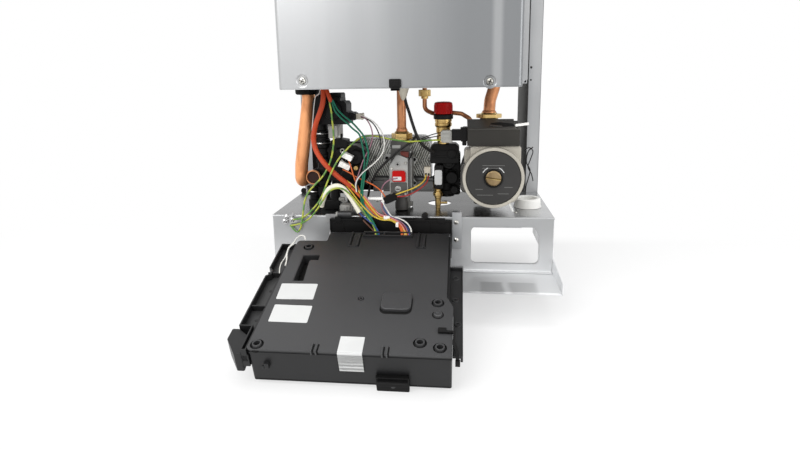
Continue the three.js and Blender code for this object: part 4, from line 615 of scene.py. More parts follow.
def flowing(points, step):
    """Points about a step apart on one smooth curve through all the given ones."""
    given = [Vector(p) for p in points]
    given = [given[0] * 2 - given[1], *given, given[-1] * 2 - given[-2]]
    run = [given[1]]
    for a, b, c, d in zip(given, given[1:], given[2:], given[3:]):
        count = max(2, round((c - b).length / step))
        for k in range(1, count + 1):
            t = k / count
            run.append((2 * b + (c - a) * t + (2 * a - 5 * b + 4 * c - d) * t ** 2
                        + (3 * b - a - 3 * c + d) * t ** 3) / 2)
    return run


def tube(run, radius, sides=16):
    """A round bar that follows a run of points, with closed ends."""
    line = bpy.data.curves.new("run", "CURVE")
    line.dimensions = "3D"
    line.bevel_depth = radius
    line.bevel_resolution = max(0, sides // 4 - 1)
    line.use_fill_caps = True
    spline = line.splines.new("POLY")
    spline.points.add(len(run) - 1)
    for point, place in zip(spline.points, run):
        point.co = (*place, 1)
    holder = bpy.data.objects.new("run", line)
    mesh = bpy.data.meshes.new_from_object(holder)
    bm = bmesh.new()
    bm.from_mesh(mesh)
    bpy.data.objects.remove(holder)
    bpy.data.curves.remove(line)
    bpy.data.meshes.remove(mesh)
    return bm


def soften(bm, width, segments=2, limit=30):
    """Rounds every edge that is sharper than a limit in degrees."""
    sharp = [e for e in bm.edges if len(e.link_faces) == 2
             and e.calc_face_angle(0) > math.radians(limit)]
    bmesh.ops.bevel(bm, geom=sharp, offset=width, segments=segments, profile=0.5,
                    affect="EDGES", clamp_overlap=True, material=-1)


def adds(shape):
    """A method of a piece that draws a shape and takes it in."""
    def method(self, *at, soft=0.0, segments=2, finish=None, lean=None, **options):
        self.add(shape(*at, **options), soft, segments, finish, lean)
    return method


class Piece:
    """A named object made of solids that are drawn in the base's or the control box's frame."""

    def __init__(self, name, slot, body="frame", finish=None, replaces=()):
        self.name, self.slot, self.body = name, slot, body
        self.place = BOX if body.startswith("control") else ROW
        self.finishes = [finish or slot]
        self.replaces = replaces
        self.bm = bmesh.new()

    def add(self, bm, soft=0.0, segments=2, finish=None, lean=None):
        """Takes in a drawn solid with its edges rounded, leaned by a matrix in its frame."""
        bmesh.ops.remove_doubles(bm, verts=bm.verts, dist=1e-3)
        bmesh.ops.recalc_face_normals(bm, faces=bm.faces)
        if soft:
            soften(bm, soft, segments)
        bm.transform(self.place @ (lean or Matrix.Identity(4)))
        bmesh.ops.recalc_face_normals(bm, faces=bm.faces)
        if finish and finish not in self.finishes:
            self.finishes.append(finish)
        for face in bm.faces:
            face.material_index = self.finishes.index(finish) if finish else 0
        mesh = as_mesh("solid", bm)
        self.bm.from_mesh(mesh)
        bpy.data.meshes.remove(mesh)

    block, prism, rod, turned = adds(block), adds(prism), adds(rod), adds(turned)
    tube, hexagon, sleeve = adds(tube), adds(hexagon), adds(sleeve)

    def done(self, sharp=32):
        mesh = as_mesh(self.name, self.bm, sharp)
        for finish in self.finishes:
            mesh.materials.append(FINISHES[finish])
        piece = as_object(self.name, mesh)
        piece.modifiers.new("even shading", "WEIGHTED_NORMAL").keep_sharp = True
        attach(piece, self.body)
        if self.replaces:
            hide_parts(*self.replaces)


def about(axis, degrees, at):
    """A turn about a line along an axis through a point."""
    return (Matrix.Translation(at) @ Matrix.Rotation(math.radians(degrees), 4, axis.upper())
            @ Matrix.Translation(-Vector(at)))


# Wires and cable sleeves, each with its diameter, its finish and the points that it runs through
WIRES = {
    "orange_sleeve": (7.6, "orange_sleeve", [
        (-121.4, 14, 270.5), (-119.9, 12, 259.6), (-119, 8, 247.3), (-120.9, 6, 235.1),
        (-125.2, 6, 224.1), (-130.4, 8, 212.8), (-134.9, 12, 201.2), (-137.7, 16, 189.5),
        (-137.1, 17, 177.9), (-132.1, 15, 166.6), (-121.5, 11, 152.7), (-106.8, 8, 138.8),
        (-92.3, 6, 127.7), (-83.6, 5, 120.7)]),
    "orange_sleeve_short": (6.2, "orange_sleeve", [
        (-118.1, 16, 275.9), (-116.8, 14, 265), (-113.4, 9, 254.8), (-110.2, 6, 247.3),
        (-107.3, 5, 240.5)]),
    "green_wire_front": (2.6, "green_wire", [
        (-106.9, 5, 243.2), (-102.8, 4, 229.5), (-94.9, 4, 219.1), (-86.5, 3, 212.1),
        (-78, 2, 203.9), (-69.2, 2, 196.3), (-66.4, 4, 185), (-64.3, 6, 170.7), (-63.3, 6, 156.5),
        (-64.8, 4, 142.6), (-67.2, 3, 128.4), (-68.9, 2, 114.2), (-68.4, 1, 99.9),
        (-64.1, -1, 88.8), (-57.2, -5, 79.6), (-50.3, -14, 70.5), (-43.6, -26, 65.4),
        (-41.8, -34, 60.7)]),
    "green_wire_back": (2.6, "green_wire", [
        (-105.2, 4, 243.2), (-99.1, 4, 230.9), (-90.6, 4, 221.7), (-80.9, 3, 214.3),
        (-71.8, 2, 205.2), (-62.5, 3, 192.7), (-59, 5, 179.2), (-57.6, 6, 167.8), (-59.7, 5, 153.8),
        (-62.7, 4, 141.1), (-65.1, 3, 125.5), (-66.7, 1.5, 110), (-64.7, 0, 95.8),
        (-59.5, -3, 85.7), (-53.2, -8, 77.6), (-45.8, -20, 69.4), (-40.4, -34, 60.7)]),
    "earth_wire_top": (2.6, "earth_wire", [
        (-110.2, 5, 241.9), (-108.1, 5, 229.5), (-107.5, 6, 217), (-107.1, 9, 201.4),
        (-107.4, 10, 184.4), (-110.5, 10, 165.8), (-116.2, 10, 150), (-124.1, 7, 136),
        (-134.5, 3, 125.1), (-143.7, 0, 114.8), (-149.6, -2, 102.7), (-152.1, -4, 88.5),
        (-154.3, -4.5, 73.8), (-157.6, -4.5, 61.9), (-162.5, -4, 55.7), (-167.7, -3.5, 59.2),
        (-172.6, -3.2, 65.8)]),
    "earth_wire_pump": (2.4, "earth_wire", [
        (43.6, 18, 185.8), (31.2, 14, 186), (15, 8, 185.7), (-1.7, 8, 185), (-18.5, 8, 187.2),
        (-34.1, 10, 189.8), (-48.8, 14, 192.2), (-62.3, 18, 191.5), (-75.4, 18, 186.2),
        (-84.9, 14, 178.1), (-93.8, 10, 168.7), (-101.2, 6, 159.3), (-108.4, 4, 146.7),
        (-114.3, 2, 134.1), (-119.4, 0, 121.5), (-124, -1, 110), (-130.8, -2, 98.5),
        (-139.8, -3, 88.4), (-149.6, -3.5, 79.5), (-160.9, -3.5, 74.9), (-171.4, -3.2, 74)]),
    "earth_wire_box": (2.4, "earth_wire", [
        (-173.4, -3.2, 65), (-162.7, -4, 66.9), (-151.8, -5, 71), (-141.2, -5, 78.6),
        (-131.9, -5, 89.7), (-125.1, -4, 99.8), (-118.1, -4, 110.7), (-110.6, -4, 117.7),
        (-101.9, -4, 120.7), (-93.3, -4, 119.6), (-85.6, -4, 113.9), (-77.4, -4, 104.6),
        (-68.2, -5, 92.6), (-59.7, -7, 80.9), (-51.6, -14, 72.7), (-45.7, -26, 66.8),
        (-43.2, -34, 60.7)]),
    "white_sleeve": (7.4, "white_sleeve", [
        (-127.6, 4, 92), (-125.6, 2.6, 99), (-120.8, 1, 110.3), (-112.9, 0, 119.8),
        (-102.7, 0, 123.3), (-93.5, 0, 119.5), (-85.9, 0, 109.4), (-78.2, -1, 97.3),
        (-71, -3, 85.5)]),
    "blue_wire_box": (2.2, "blue_wire", [
        (-76, -2, 93.2), (-68.5, -5, 83.1), (-59.4, -9, 77), (-49.9, -16, 71.8), (-42.2, -26, 66.9),
        (-38.4, -34, 60.7)]),
    "brown_wire_box": (2.2, "brown_wire", [
        (-77.4, -2, 91.8), (-70.2, -4, 80.7), (-63.3, -8, 73.8), (-54.2, -16, 68.1),
        (-46.1, -28, 64.5), (-44.6, -34, 60.6)]),
    "orange_wire_upper": (2.2, "orange_wire", [
        (-88, 6, 124.8), (-79.4, 5, 117.1), (-70.8, 4, 108.6), (-62.1, 2, 99), (-53.5, 0, 88.6),
        (-43.2, -3, 80.8), (-30, -6, 78.8), (-18, -12, 75.5), (-9.1, -24, 69.7),
        (-6.2, -34, 61.3)]),
    "orange_wire_lower": (2.2, "orange_wire", [
        (-86.5, 5, 122.1), (-77.9, 4, 113.7), (-69.3, 3, 104.5), (-60.6, 1, 94.9),
        (-51.8, -2, 85.5), (-40.1, -5, 78.7), (-26.9, -8, 77.2), (-16.3, -15, 72.8),
        (-9.6, -26, 67.4), (-8.2, -34, 61.3)]),
    "pink_wire": (2.2, "pink_wire", [
        (-84.9, 5, 126.5), (-76.3, 4, 119.5), (-67, 3, 110.4), (-57.6, 1, 100), (-50.4, -1, 90.4),
        (-41.5, -4, 83.2), (-28.4, -7, 80.5), (-16.5, -13, 76.5), (-6.4, -24, 69.7),
        (-2.7, -34, 61.3)]),
    "yellow_wire_upper": (2.2, "yellow_wire", [
        (-89.3, 6, 129.1), (-79.8, 4, 122.4), (-70.3, 2, 112.7), (-61.7, 0, 101.6),
        (-51.5, -3, 89.4), (-41.3, -6, 79.8), (-28.2, -9, 78.2), (-16.3, -15, 74.2),
        (-6.3, -25, 68.6), (-3.4, -34, 61.3)]),
    "yellow_wire_lower": (2.2, "yellow_wire", [
        (-90.5, 4, 123.7), (-82, 3, 113.1), (-73.4, 1, 102), (-63.1, -2, 91.2), (-51.4, -5, 81.2),
        (-38.3, -8, 76.6), (-25.3, -10, 76.3), (-13.3, -17, 71.2), (-4, -28, 66.6),
        (-1.4, -34, 61.4)]),
    "orange_lead_upper": (2, "orange_wire", [
        (-88.6, 18, 156.8), (-84.5, 14, 148), (-81.1, 10, 138.6), (-77.2, 7, 129),
        (-72.9, 5, 119.3), (-66.3, 3, 109.6), (-57.7, 1, 98.5), (-47.4, -2, 87.7)]),
    "orange_lead_lower": (2, "orange_wire", [
        (-98, 22, 143), (-86.2, 14, 139.3), (-74.1, 10, 132.8), (-62.3, 8, 128.2), (-51, 8, 122.5),
        (-41.1, 8, 114.6), (-34.2, 8, 104.4)]),
    "red_lead": (1.8, "mauve_wire", [
        (-69, 20, 219.9), (-61.2, 16, 215.9), (-54.5, 12, 206.4), (-51.6, 10, 194),
        (-53.7, 8, 181.7), (-58.8, 7, 170.5), (-64.7, 6, 159.3), (-69.1, 5, 148.1),
        (-72.8, 4, 136.8), (-76.7, 3.5, 125.4), (-74.6, 2, 114.1)]),
    "dark_lead": (1.8, "dark_wire", [
        (-69, 20, 218.5), (-59.8, 16, 215.9), (-49.5, 12, 208.5), (-42.3, 9, 195.5),
        (-40.2, 7, 181.7), (-43.9, 6, 169.2), (-52.5, 5, 158.1), (-61.8, 4, 148.3),
        (-69.7, 3, 138.4), (-74.3, 2.5, 127), (-73.2, 2, 114.1)]),
    "white_lead": (1.8, "white_wire", [
        (-68.9, 20, 220.6), (-58.4, 16, 216.6), (-46.6, 12, 209.2), (-38, 9, 196.9),
        (-34.8, 7, 183.1), (-37.5, 6, 169.2), (-46.8, 5, 157.4), (-57.5, 4, 148.3),
        (-68.3, 3, 139.2), (-75.5, 1.5, 127.2), (-75.1, 1, 114.3)]),
    "yellow_sensor_wire": (2, "yellow_wire", [
        (21.6, 30, 133.9), (19.8, 24, 127.7), (12.3, 18, 121.6), (1.1, 14, 116.2), (-11.6, 12, 112),
        (-21.6, 11, 108.2)]),
    "red_sensor_wire": (2, "red_wire", [
        (25.2, 30, 132.5), (23.3, 24, 124.8), (15.1, 18, 117.2), (3.9, 14, 110.7),
        (-7.4, 12, 106.7), (-21.6, 11, 105.3)]),
    "red_box_wire": (2, "red_wire", [
        (-34.5, 10, 101.8), (-39.4, 8, 96.3), (-39.8, 5, 89.7), (-35.1, 1, 82.7), (-26, -4, 77.6),
        (-15.3, -11, 75.3), (-4.5, -22, 69.9), (0.7, -34, 61.4)]),
    "white_box_wire": (2.2, "white_wire", [
        (-38.4, 9, 115.8), (-40.5, 8, 105.8), (-37.5, 6, 96.1), (-31.4, 2, 86.9), (-24.7, -3, 80.1),
        (-14.1, -9, 79.2), (-3, -17, 75.5), (3.8, -26, 69), (5.6, -34, 61.5)]),
    "blue_box_wire": (1.8, "blue_wire", [
        (-34.4, 9, 99.8), (-37.6, 6, 93.2), (-34.3, 2, 86.9), (-27.6, -2, 80.7), (-16.9, -9, 77.5),
        (-4.8, -19, 72.6), (1.5, -28, 67.4), (2.7, -34, 61.4)]),
    "valve_lead": (1.8, "mauve_wire", [
        (-17.4, 9, 133.3), (-26.5, 8, 131.4), (-34.1, 7, 127), (-39.3, 8, 119.5), (-40.8, 9, 110),
        (-41.2, 8, 100), (-40.1, 5, 90.5), (-35.1, 1, 83.3), (-26, -4, 78.3), (-15.3, -11, 76.9),
        (-4.5, -22, 72), (2, -34, 61.4)]),
    "sensor_cable": (4.4, "dark_wire", [
        (-7, 20, 247), (-4.9, 19, 237.4), (-0.8, 18, 225), (3.4, 16, 211.3), (7.7, 14, 198.9),
        (11.8, 14, 189.2), (17.1, 16, 180.5), (24.4, 22, 172.7), (33.2, 30, 166.6)]),
    "flame_cable": (3.4, "dark_wire", [
        (8.9, 15, 191.9), (3, 10, 184.8), (-6.7, 8, 178.1), (-16.6, 8, 171.1), (-25.9, 8, 162.6),
        (-34.8, 10, 154.5), (-44.6, 12, 144.1), (-52.4, 14, 132.2), (-58.2, 16, 118.6),
        (-62.2, 20, 103)]),
    "switch_lead_upper": (1.4, "dark_wire", [
        (46.3, 19, 196.2), (36.7, 16, 195.1), (25.7, 14, 191.9), (15.3, 13.5, 187.8)]),
    "switch_lead_lower": (1.4, "dark_wire", [
        (46.3, 19, 192), (36.7, 16, 191), (25.7, 14.5, 189.1), (15.9, 14, 185.7)]),
    "thin_grey_wire": (1.3, "white_wire", [
        (-123.3, 14, 259.6), (-126.6, 12, 250.9), (-131, 12, 248.2), (-133.4, 12, 237.7),
        (-135.3, 12, 223.7), (-137.7, 14, 209.6), (-140.7, 20, 199.1)]),
    "rail_wire_long": (1.8, "dark_wire", [
        (181.3, 105, 164.6), (173.9, 104, 157.1), (171.8, 103, 141.7), (177.7, 103, 129.2),
        (175.6, 103, 116.7), (172.1, 103, 102.4), (171.7, 103, 84.9)]),
    "rail_wire_loop": (1.6, "dark_wire", [
        (167.8, 104, 158.6), (174.5, 103, 164), (181.2, 103, 158.7), (178, 103, 146.4),
        (174.5, 103, 133.9), (180, 103, 123), (182.9, 104, 111.8)]),
    "tray_wire_outer": (2.2, "white_wire", [
        (-137.9, -48.4, 57.7), (-141.8, -39.8, 60.2), (-147.1, -38, 60.7), (-151, -44, 59),
        (-152.6, -55.9, 55.5), (-155.5, -66.6, 52.5), (-153.9, -80.9, 48.4), (-150.5, -93.7, 44.7),
        (-148.6, -105.2, 41.4)]),
    "tray_wire_inner": (1.4, "white_wire", [
        (-151.1, -58.2, 54.9), (-154.5, -65.2, 52.9), (-155.2, -76.5, 49.6), (-154.2, -88.7, 46.1),
        (-155.4, -99.4, 43.1), (-154.2, -110.5, 39.9), (-151.6, -120.4, 37)]),
}
ON_BOX = {"tray_wire_outer", "tray_wire_inner"}
ENTERS_BOX = {name for name in WIRES if WIRES[name][2][-1][1] < -30} - ON_BOX
HINGE_NEAR, HINGE_FAR = (0, -12, 74), (0, -33, 64)


def span(run):
    return sum((b - a).length for a, b in zip(run, run[1:]))


for name, (diameter, finish, points) in WIRES.items():
    run = flowing(points, 3.0)
    bm = tube(run, diameter / 2, 12)
    bm.transform(ROW)
    mesh = as_mesh(name, bm, sharp=60)
    mesh.materials.append(FINISHES[finish])
    wire = as_object(name, mesh)
    if name in ENTERS_BOX:
        ROW @ Vector(HINGE_NEAR)
        ROW @ Vector(HINGE_FAR)
        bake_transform(wire)
    else:
        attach(wire, "control_box" if name in ON_BOX else "frame")
    path = [ROW @ place for place in run]
    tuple(path[0])
    span(run) * MM

# Chamber: front cover with its screws and clip
SHEET = 1.2
COVER_LEFT, COVER_RIGHT = -160.5, 145.3
COVER_FACE, COVER_RIM = -58, -0.4
COVER_LOW, COVER_TOP = 259, 691
BEND = 6
DISH = 8.6
DISHES = [(-129, 269.8), (105.7, 265.8), (-129, 680), (105.7, 680)]


def quarter(radius, steps):
    """A sheet's quarter bend: pairs of distances for its outer and its inner face."""
    turns = (math.pi / 2 * k / steps for k in range(steps + 1))
    outer = [(radius - radius * math.sin(t), radius - radius * math.cos(t)) for t in turns]
    shrink = (radius - SHEET) / radius
    return outer, [(SHEET + a * shrink, SHEET + b * shrink) for a, b in outer]


cover = Piece("cover_sheet_painted_reflection", "bright_sheet", replaces=["chamber_cover"])
holes = [ring(at, DISH, 28) for at in DISHES]
cover.prism(rect(COVER_LEFT + BEND, COVER_RIGHT - BEND, COVER_LOW + 1.6, COVER_TOP), "y",
            COVER_FACE, COVER_FACE + SHEET, holes)
for x, z in DISHES:
    cover.turned([(DISH, 0), (DISH - 0.9, 0.25), (DISH - 2.2, 1.3), (2.6, 1.5), (2.6, 2.7),
                  (DISH - 2.4, 2.5), (DISH, 1.2)], "y", (x, COVER_FACE, z), 28, closed=True)
for side, way in ((COVER_LEFT, 1), (COVER_RIGHT, -1)):
    outer, inner = ([(side + way * a, COVER_FACE + b) for a, b in bow] for bow in quarter(BEND, 8))
    flank = [(side, COVER_RIM), (side + way * SHEET, COVER_RIM)]
    cover.prism([*outer, flank[0], flank[1], *reversed(inner)], "z", COVER_LOW + 1.6, COVER_TOP)
edge = rounded([(COVER_LEFT + 0.3, COVER_RIM), (COVER_LEFT + 0.3, COVER_FACE + 0.3),
                (COVER_RIGHT - 0.3, COVER_FACE + 0.3), (COVER_RIGHT - 0.3, COVER_RIM)],
               [0.1, BEND, BEND, 0.1])
cover.prism(edge, "z", COVER_LOW, COVER_LOW + SHEET, soft=0.35)
cover.prism(edge, "z", COVER_TOP - SHEET, COVER_TOP, soft=0.35)
ROLL = 1.7
left, right, z = COVER_LEFT + ROLL, COVER_RIGHT - ROLL, COVER_LOW + ROLL
corners = [(left, COVER_RIM, z), (left, COVER_FACE + ROLL, z),
           (right, COVER_FACE + ROLL, z), (right, COVER_RIM, z)]
cover.tube(bent(corners, BEND - ROLL, 8), ROLL, 12)
cover.done()

for side, (x, z) in (("left", DISHES[0]), ("right", DISHES[1])):
    screw = Piece(f"cover_screw_head_{side}", "screw_steel", replaces=[f"cover_screw_{side}"])
    y = COVER_FACE + 1.3
    dome = [(0, -3.1), (1.6, -3.0), (3.2, -2.5), (4.3, -1.6), (4.8, -0.5), (4.8, 0), (2.1, 0),
            (2.1, 6), (0, 6)]
    screw.turned(dome, "y", (x, y, z), 32)
    # painted shade: dark strips for the screw's cross recess
    for lean in (20, 110):
        screw.block((x - 2.9, x + 2.9), (y - 3.16, y - 2.6), (z - 0.45, z + 0.45),
                    finish="black_rubber", lean=about("y", lean, (x, y, z)))
    screw.done()

clip = Piece("cover_clip_moulding", "black_plastic", replaces=["cover_clip"])
y = COVER_FACE - 0.4
clip.prism(rounded(rect(-18, -3, 259.6, 270.6), 1.6), "y", y - 3, y, soft=0.5)
clip.block((-16, -5), (y - 3, y + 5), (256.2, 258.6), soft=0.4)
clip.block((-16, -5), (y - 3, y - 0.6), (256.2, 261), soft=0.4)
clip.prism(rounded(rect(-14.4, -6.6, 262.4, 268), 0.8), "y", y - 3.7, y - 2.6, soft=0.3)
clip.done()

# Base: plate, front bend, panels, shelf hem and screws
PLATE = 80
FRONT_BEND = 2.2
plate_holes = [ring((170.8, 67.9), 14), ring((39, 86.8), 17.8, 48), ring((38, 52), 4.2, 20),
               ring((-94.5, 20), 5.2, 20), ring((-152, 62), 9, 24), ring((-13, 60), 12, 24)]
top = Piece("base_top_sheet", "dark_sheet", replaces=["base_plate"])
top.prism(rect(-199.6, 199.6, FRONT_BEND, 171.6), "z", PLATE - SHEET, PLATE, plate_holes)
for x in (-199.6, 199.0):
    top.block((x, x + 0.6), (FRONT_BEND, 171.6), (PLATE - 9, PLATE - 1))
for x, y, r in ((-60, 96, 3), (90, 118, 3), (150, 30, 2.4), (70, 24, 2.4), (-170, 120, 3)):
    top.turned([(0, 0), (r, 0), (r, 0.4), (r - 0.8, 0.9), (0, 1.0)], "z", (x, y, PLATE), 20,
               finish="screw_steel")
top.done()

outer, inner = ([(a, PLATE - b) for a, b in bow] for bow in quarter(FRONT_BEND, 6))
bend_outline = [*outer, *reversed(inner)]
front = Piece("base_front_sheet_left", "sheet", finish="base_sheet", replaces=["front_panel_left"])
LEFT_END = [(-198.4, 1.6), (-118.5, 1.6), (-117.5, 44), (-114.7, 66), (-114.7, PLATE - FRONT_BEND),
            (-198.4, PLATE - FRONT_BEND)]
front.prism(LEFT_END, "y", 0, SHEET, soft=0.25)
front.prism(bend_outline, "x", -199.8, -114.7)
front.prism(rounded(rect(-121, -106, 70, 82.5), 2), "y", -1.4, -0.2, soft=0.3, finish="stainless")
front.done()

WINDOW = rounded([(85, 11.8), (181, 11.8), (181, 53.2), (174, 67.2), (85, 67.2)], [8, 8, 3, 3, 8])
WINDOW_IN = rounded([(86.2, 13), (179.8, 13), (179.8, 52.9), (173.3, 66), (86.2, 66)],
                    [6.8, 6.8, 2.6, 2.6, 6.8])
right = Piece("base_front_sheet_right", "sheet", finish="base_sheet",
              replaces=["front_panel_right"])
right.prism([(58, 8), (75, 8), (75, 1.6), (198.4, 1.6), (198.4, PLATE - FRONT_BEND),
             (58, PLATE - FRONT_BEND)], "y", 0, SHEET, [WINDOW], soft=0.2)
right.prism(WINDOW, "y", 0.1, 5.5, [WINDOW_IN], soft=0.25)
right.prism(bend_outline, "x", 58, 199.8)
right.prism([(0, 1.6), (-7, 1.6), (-7, 2.8), (-0.6, 2.8), (0, 4)], "x", 76, 198)
right.done()

middle = Piece("base_front_fold", "sheet", finish="base_sheet")
middle.prism(bend_outline, "x", -114.4, 57.8)
middle.block((-114.4, 57.8), (0, SHEET), (50, PLATE - FRONT_BEND))
middle.done()

SHELF_LEFT = -112
hem = Piece("shelf_hem", "sheet", finish="lip_sheet")
hem.tube([(SHELF_LEFT, -77.4, 1.2), (197, -77.4, 1.2)], 1.5, 12)
hem.tube(bent([(199.3, -77.4, 1.2), (199.3, -77.4, 14.6), (199.3, -0.6, 21.6)], 2), 0.9, 8)
hem.done()

pan = Piece("base_pan_sheet", "sheet", finish="lip_sheet", replaces=["base_pan"])
pan.block((SHELF_LEFT, 200), (-78, 30), (0, SHEET), soft=0.3)
pan.block((-200, SHELF_LEFT + 1), (1.6, 30), (0, SHEET), soft=0.3)
LEFT_CHEEK = [(1.6, 0), (171.6, 0), (171.6, 78.4), (1.6, 78.4)]
RIGHT_CHEEK = [(-78, 0), (171.6, 0), (171.6, 78.4), (1.6, 78.4), (1.6, 22), (-78, 15)]
for x, outline in ((-200, LEFT_CHEEK), (198.8, RIGHT_CHEEK)):
    pan.prism(outline, "x", x, x + SHEET, soft=0.2)
pan.block((-200, 200), (149.6, 171.6), (68.8, 70), soft=0.2)
pan.block((-179.6, 179.6), (171.4, 205), (68.8, 70), soft=0.2)
sight = rounded(rect(-40, 110, 34, 66), 4)
pan.prism(rect(-179.6, 179.6, 8, 70), "y", 203, 205, [sight], soft=0.2)
pan.done()

for side, way in (("left", -1), ("right", 1)):
    rail = Piece(f"rail_sheet_{side}", "sheet", replaces=[f"rail_{side}"])
    near, far = sorted((way * 180, way * 200))
    screws = [ring((way * 183.4, z), r, 20) for r, z in ((1.8, 285), (1.4, 265), (1.8, 560))]
    rail.prism(rect(near, far, 66, 700), "y", 172, 173.2, screws, soft=0.4)
    edge = sorted((way * 198.8, way * 200))
    rail.block(edge, (172, 205), (0, 700), soft=0.3)
    deep = sorted((way * 167, way * 200))
    # painted shade: the rail's deep flange takes the darker copy of the sheet
    rail.block(deep, (203.8, 205), (70.4, 700), soft=0.3, finish="rail_back")
    rail.done()

bracket = Piece("hinge_bracket_sheet", "sheet", replaces=["hinge_bracket"])
bracket.prism(rounded(rect(59.8, 73, 34, 86.4), 1), "y", -1.9, -0.4, soft=0.3)
bracket.block((59.8, 73), (-1.9, 9), (85.5, 87), soft=0.5)
for z in (72.6, 47.2):
    bracket.turned([(0, -2.3), (1.6, -2.2), (3, -1.4), (3.4, 0), (0, 0)], "y", (65.6, -1.9, z), 24,
                   finish="screw_steel")
    # painted shade: a dark strip for the screw's slot
    bracket.block((63.6, 67.6), (-4.35, -3.9), (z - 0.35, z + 0.35), finish="black_rubber",
                  lean=about("y", 35, (65.6, -2, z)))
bracket.done()

bar = Piece("hinge_crossbar_moulding", "black_plastic", replaces=["hinge_crossbar"])
HINGE_Y, HINGE_Z = -33.98, 38.01
arm = rounded([(-3.6, HINGE_Z - 6), (-3.6, 77), (-7.5, 77), (-7.5, HINGE_Z + 6),
               (HINGE_Y - 6, HINGE_Z + 6), (HINGE_Y - 6, HINGE_Z - 6)], [1, 1, 1, 1, 4, 4])
bar.block((-113.6, 57.4), (-6.5, -3.6), (57, 77), soft=0.6)
bar.block((-113.6, 57.4), (-7.5, -3.6), (74, 77), soft=0.5)
bar.block((-100, 40), (-4.6, 12), (76.4, 78.4), soft=0.4)
for x in (-113.6, 57.4):
    bar.prism(arm, "x", x, x + 2, soft=0.4)
for x in (-113.6, 52.4):
    bar.rod(2.5, "x", (0, HINGE_Y, HINGE_Z), x, x + 7, 20, soft=0.3)
for x, w, h in ((-106, 9, 6), (-78, 12, 3.4), (-30, 10, 4.2), (8, 14, 3), (40, 10, 5)):
    bar.block((x, x + w), (-8.2, -3.6), (77 - h, 79.4), soft=0.8)
for x in (-95, -52, -8, 30):
    bar.block((x, x + 1.6), (-7.4, -5), (57.6, 74), soft=0.4)
bar.rod(4.4, "y", (21.7, 0, 81.6), -8, 3, 28, soft=0.9)
bar.block((17.3, 26.1), (-6.4, 2), (77, 81.6), soft=0.5)
bar.done()

# Axes that several solids turn about
GAS_LINE, LIFT_LINE, THIN_LINE = (-13, 35, 0), (111.4, 60, 0), (18.8, 55, 0)
UNION, MOTOR_FACE = (-144.3, 0, 130), (-108.5, 0, 228)
SAFETY, DRAIN = (46, 45, 0), (38, 52, 0)
LOW_BOSS, LID_HOLE = (47, 164, 0), (-42, 140, 0)

# Copper runs with their nuts
# the flow pipe takes the painted brighter copy of the copper
flow = Piece("flow_pipe_copper", "copper", finish="flow_copper", replaces=["flow_pipe"])
flow.tube(bent([(-152.6, 50, 452), (-152.6, 50, 262), (-151.6, 50, 244), (-167.4, 50, 146),
                (-168.7, 50, 120.4), (-168.7, 68, 120)], 10.4, 12), 9.7, 36)
flow.tube(bent([(-168.7, 62, 121), (-144.3, 60, 129.4), (-144.3, 32, 130)], 10, 12), 9.4, 32)
flow.sleeve(9.2, 10.4, "y", UNION, 26.4, 33, 36, soft=0.4)
# painted shade: a dark disc inside the union's end
flow.rod(9.3, "y", UNION, 29, 33, 32, finish="dark_copper")
flow.done()

seal = Piece("pipe_seal", "black_rubber", replaces=["pipe_grommet"])
seal.turned([(9.4, 249.8), (15.2, 249.8), (16.9, 251), (17.3, 253), (17.3, 257.5), (16.3, 259.4),
             (16.3, 261.4), (9.4, 261.4)], "z", (-153.4, 50, 0), 44, closed=True)
seal.done()

gas = Piece("gas_pipe_copper", "copper", replaces=["gas_pipe"])
gas.tube(bent([(-13, 35, 195.2), (-13, 35, 278), (-13, -14, 278), (-13, -14, 291.4)], 9), 6.5, 24)
gas.turned([(6.5, 196), (8.2, 196.4), (8.2, 199), (7, 201), (6.5, 203)], "z", GAS_LINE, 28,
           closed=True)
gas.done()
nut = Piece("gas_pipe_nut", "brass", replaces=["gas_nut"])
nut.hexagon(26.5, "z", GAS_LINE, 185, 194.2, soft=0.9)
nut.turned([(0, 194), (11.4, 194), (9, 197), (0, 197)], "z", GAS_LINE, 32)
nut.rod(11.6, "z", GAS_LINE, 184.8, 186.4, soft=0.3)
nut.done()

lift = Piece("pump_pipe_copper", "copper", replaces=["pump_pipe"])
lift.tube(bent([(118.6, 60, 440), (118.6, 60, 258), (112.6, 60, 238), (111.4, 60, 219.6)], 26, 10),
          8.4, 28)
lift.turned([(8.4, 219.6), (10.4, 219.6), (10, 222.4), (8.4, 224)], "z", LIFT_LINE, 28, closed=True)
lift.done()
nut = Piece("pump_pipe_nut", "brass", replaces=["pump_nut"])
nut.hexagon(32, "z", LIFT_LINE, 213, 219, soft=0.9)
nut.turned([(0, 218.8), (12.6, 218.8), (10.6, 220.8), (0, 220.8)], "z", LIFT_LINE, 32)
nut.done()

thin = Piece("pressure_pipe_copper", "copper", replaces=["pressure_pipe"])
thin.tube(bent([(18.8, 55, 275), (18.8, 55, 226), (30, 62, 220), (58, 66, 220.5), (72, 64, 219),
                (84, 60, 212), (88, 60, 200), (88, 60, 178.3)], 9, 8), 3.2, 18)
thin.hexagon(15.6, "z", THIN_LINE, 245, 254.5, 3.0, soft=0.7, finish="brass")
thin.sleeve(3.1, 5.2, "z", THIN_LINE, 241.6, 245.4, 24, soft=0.4, finish="brass")
thin.done()

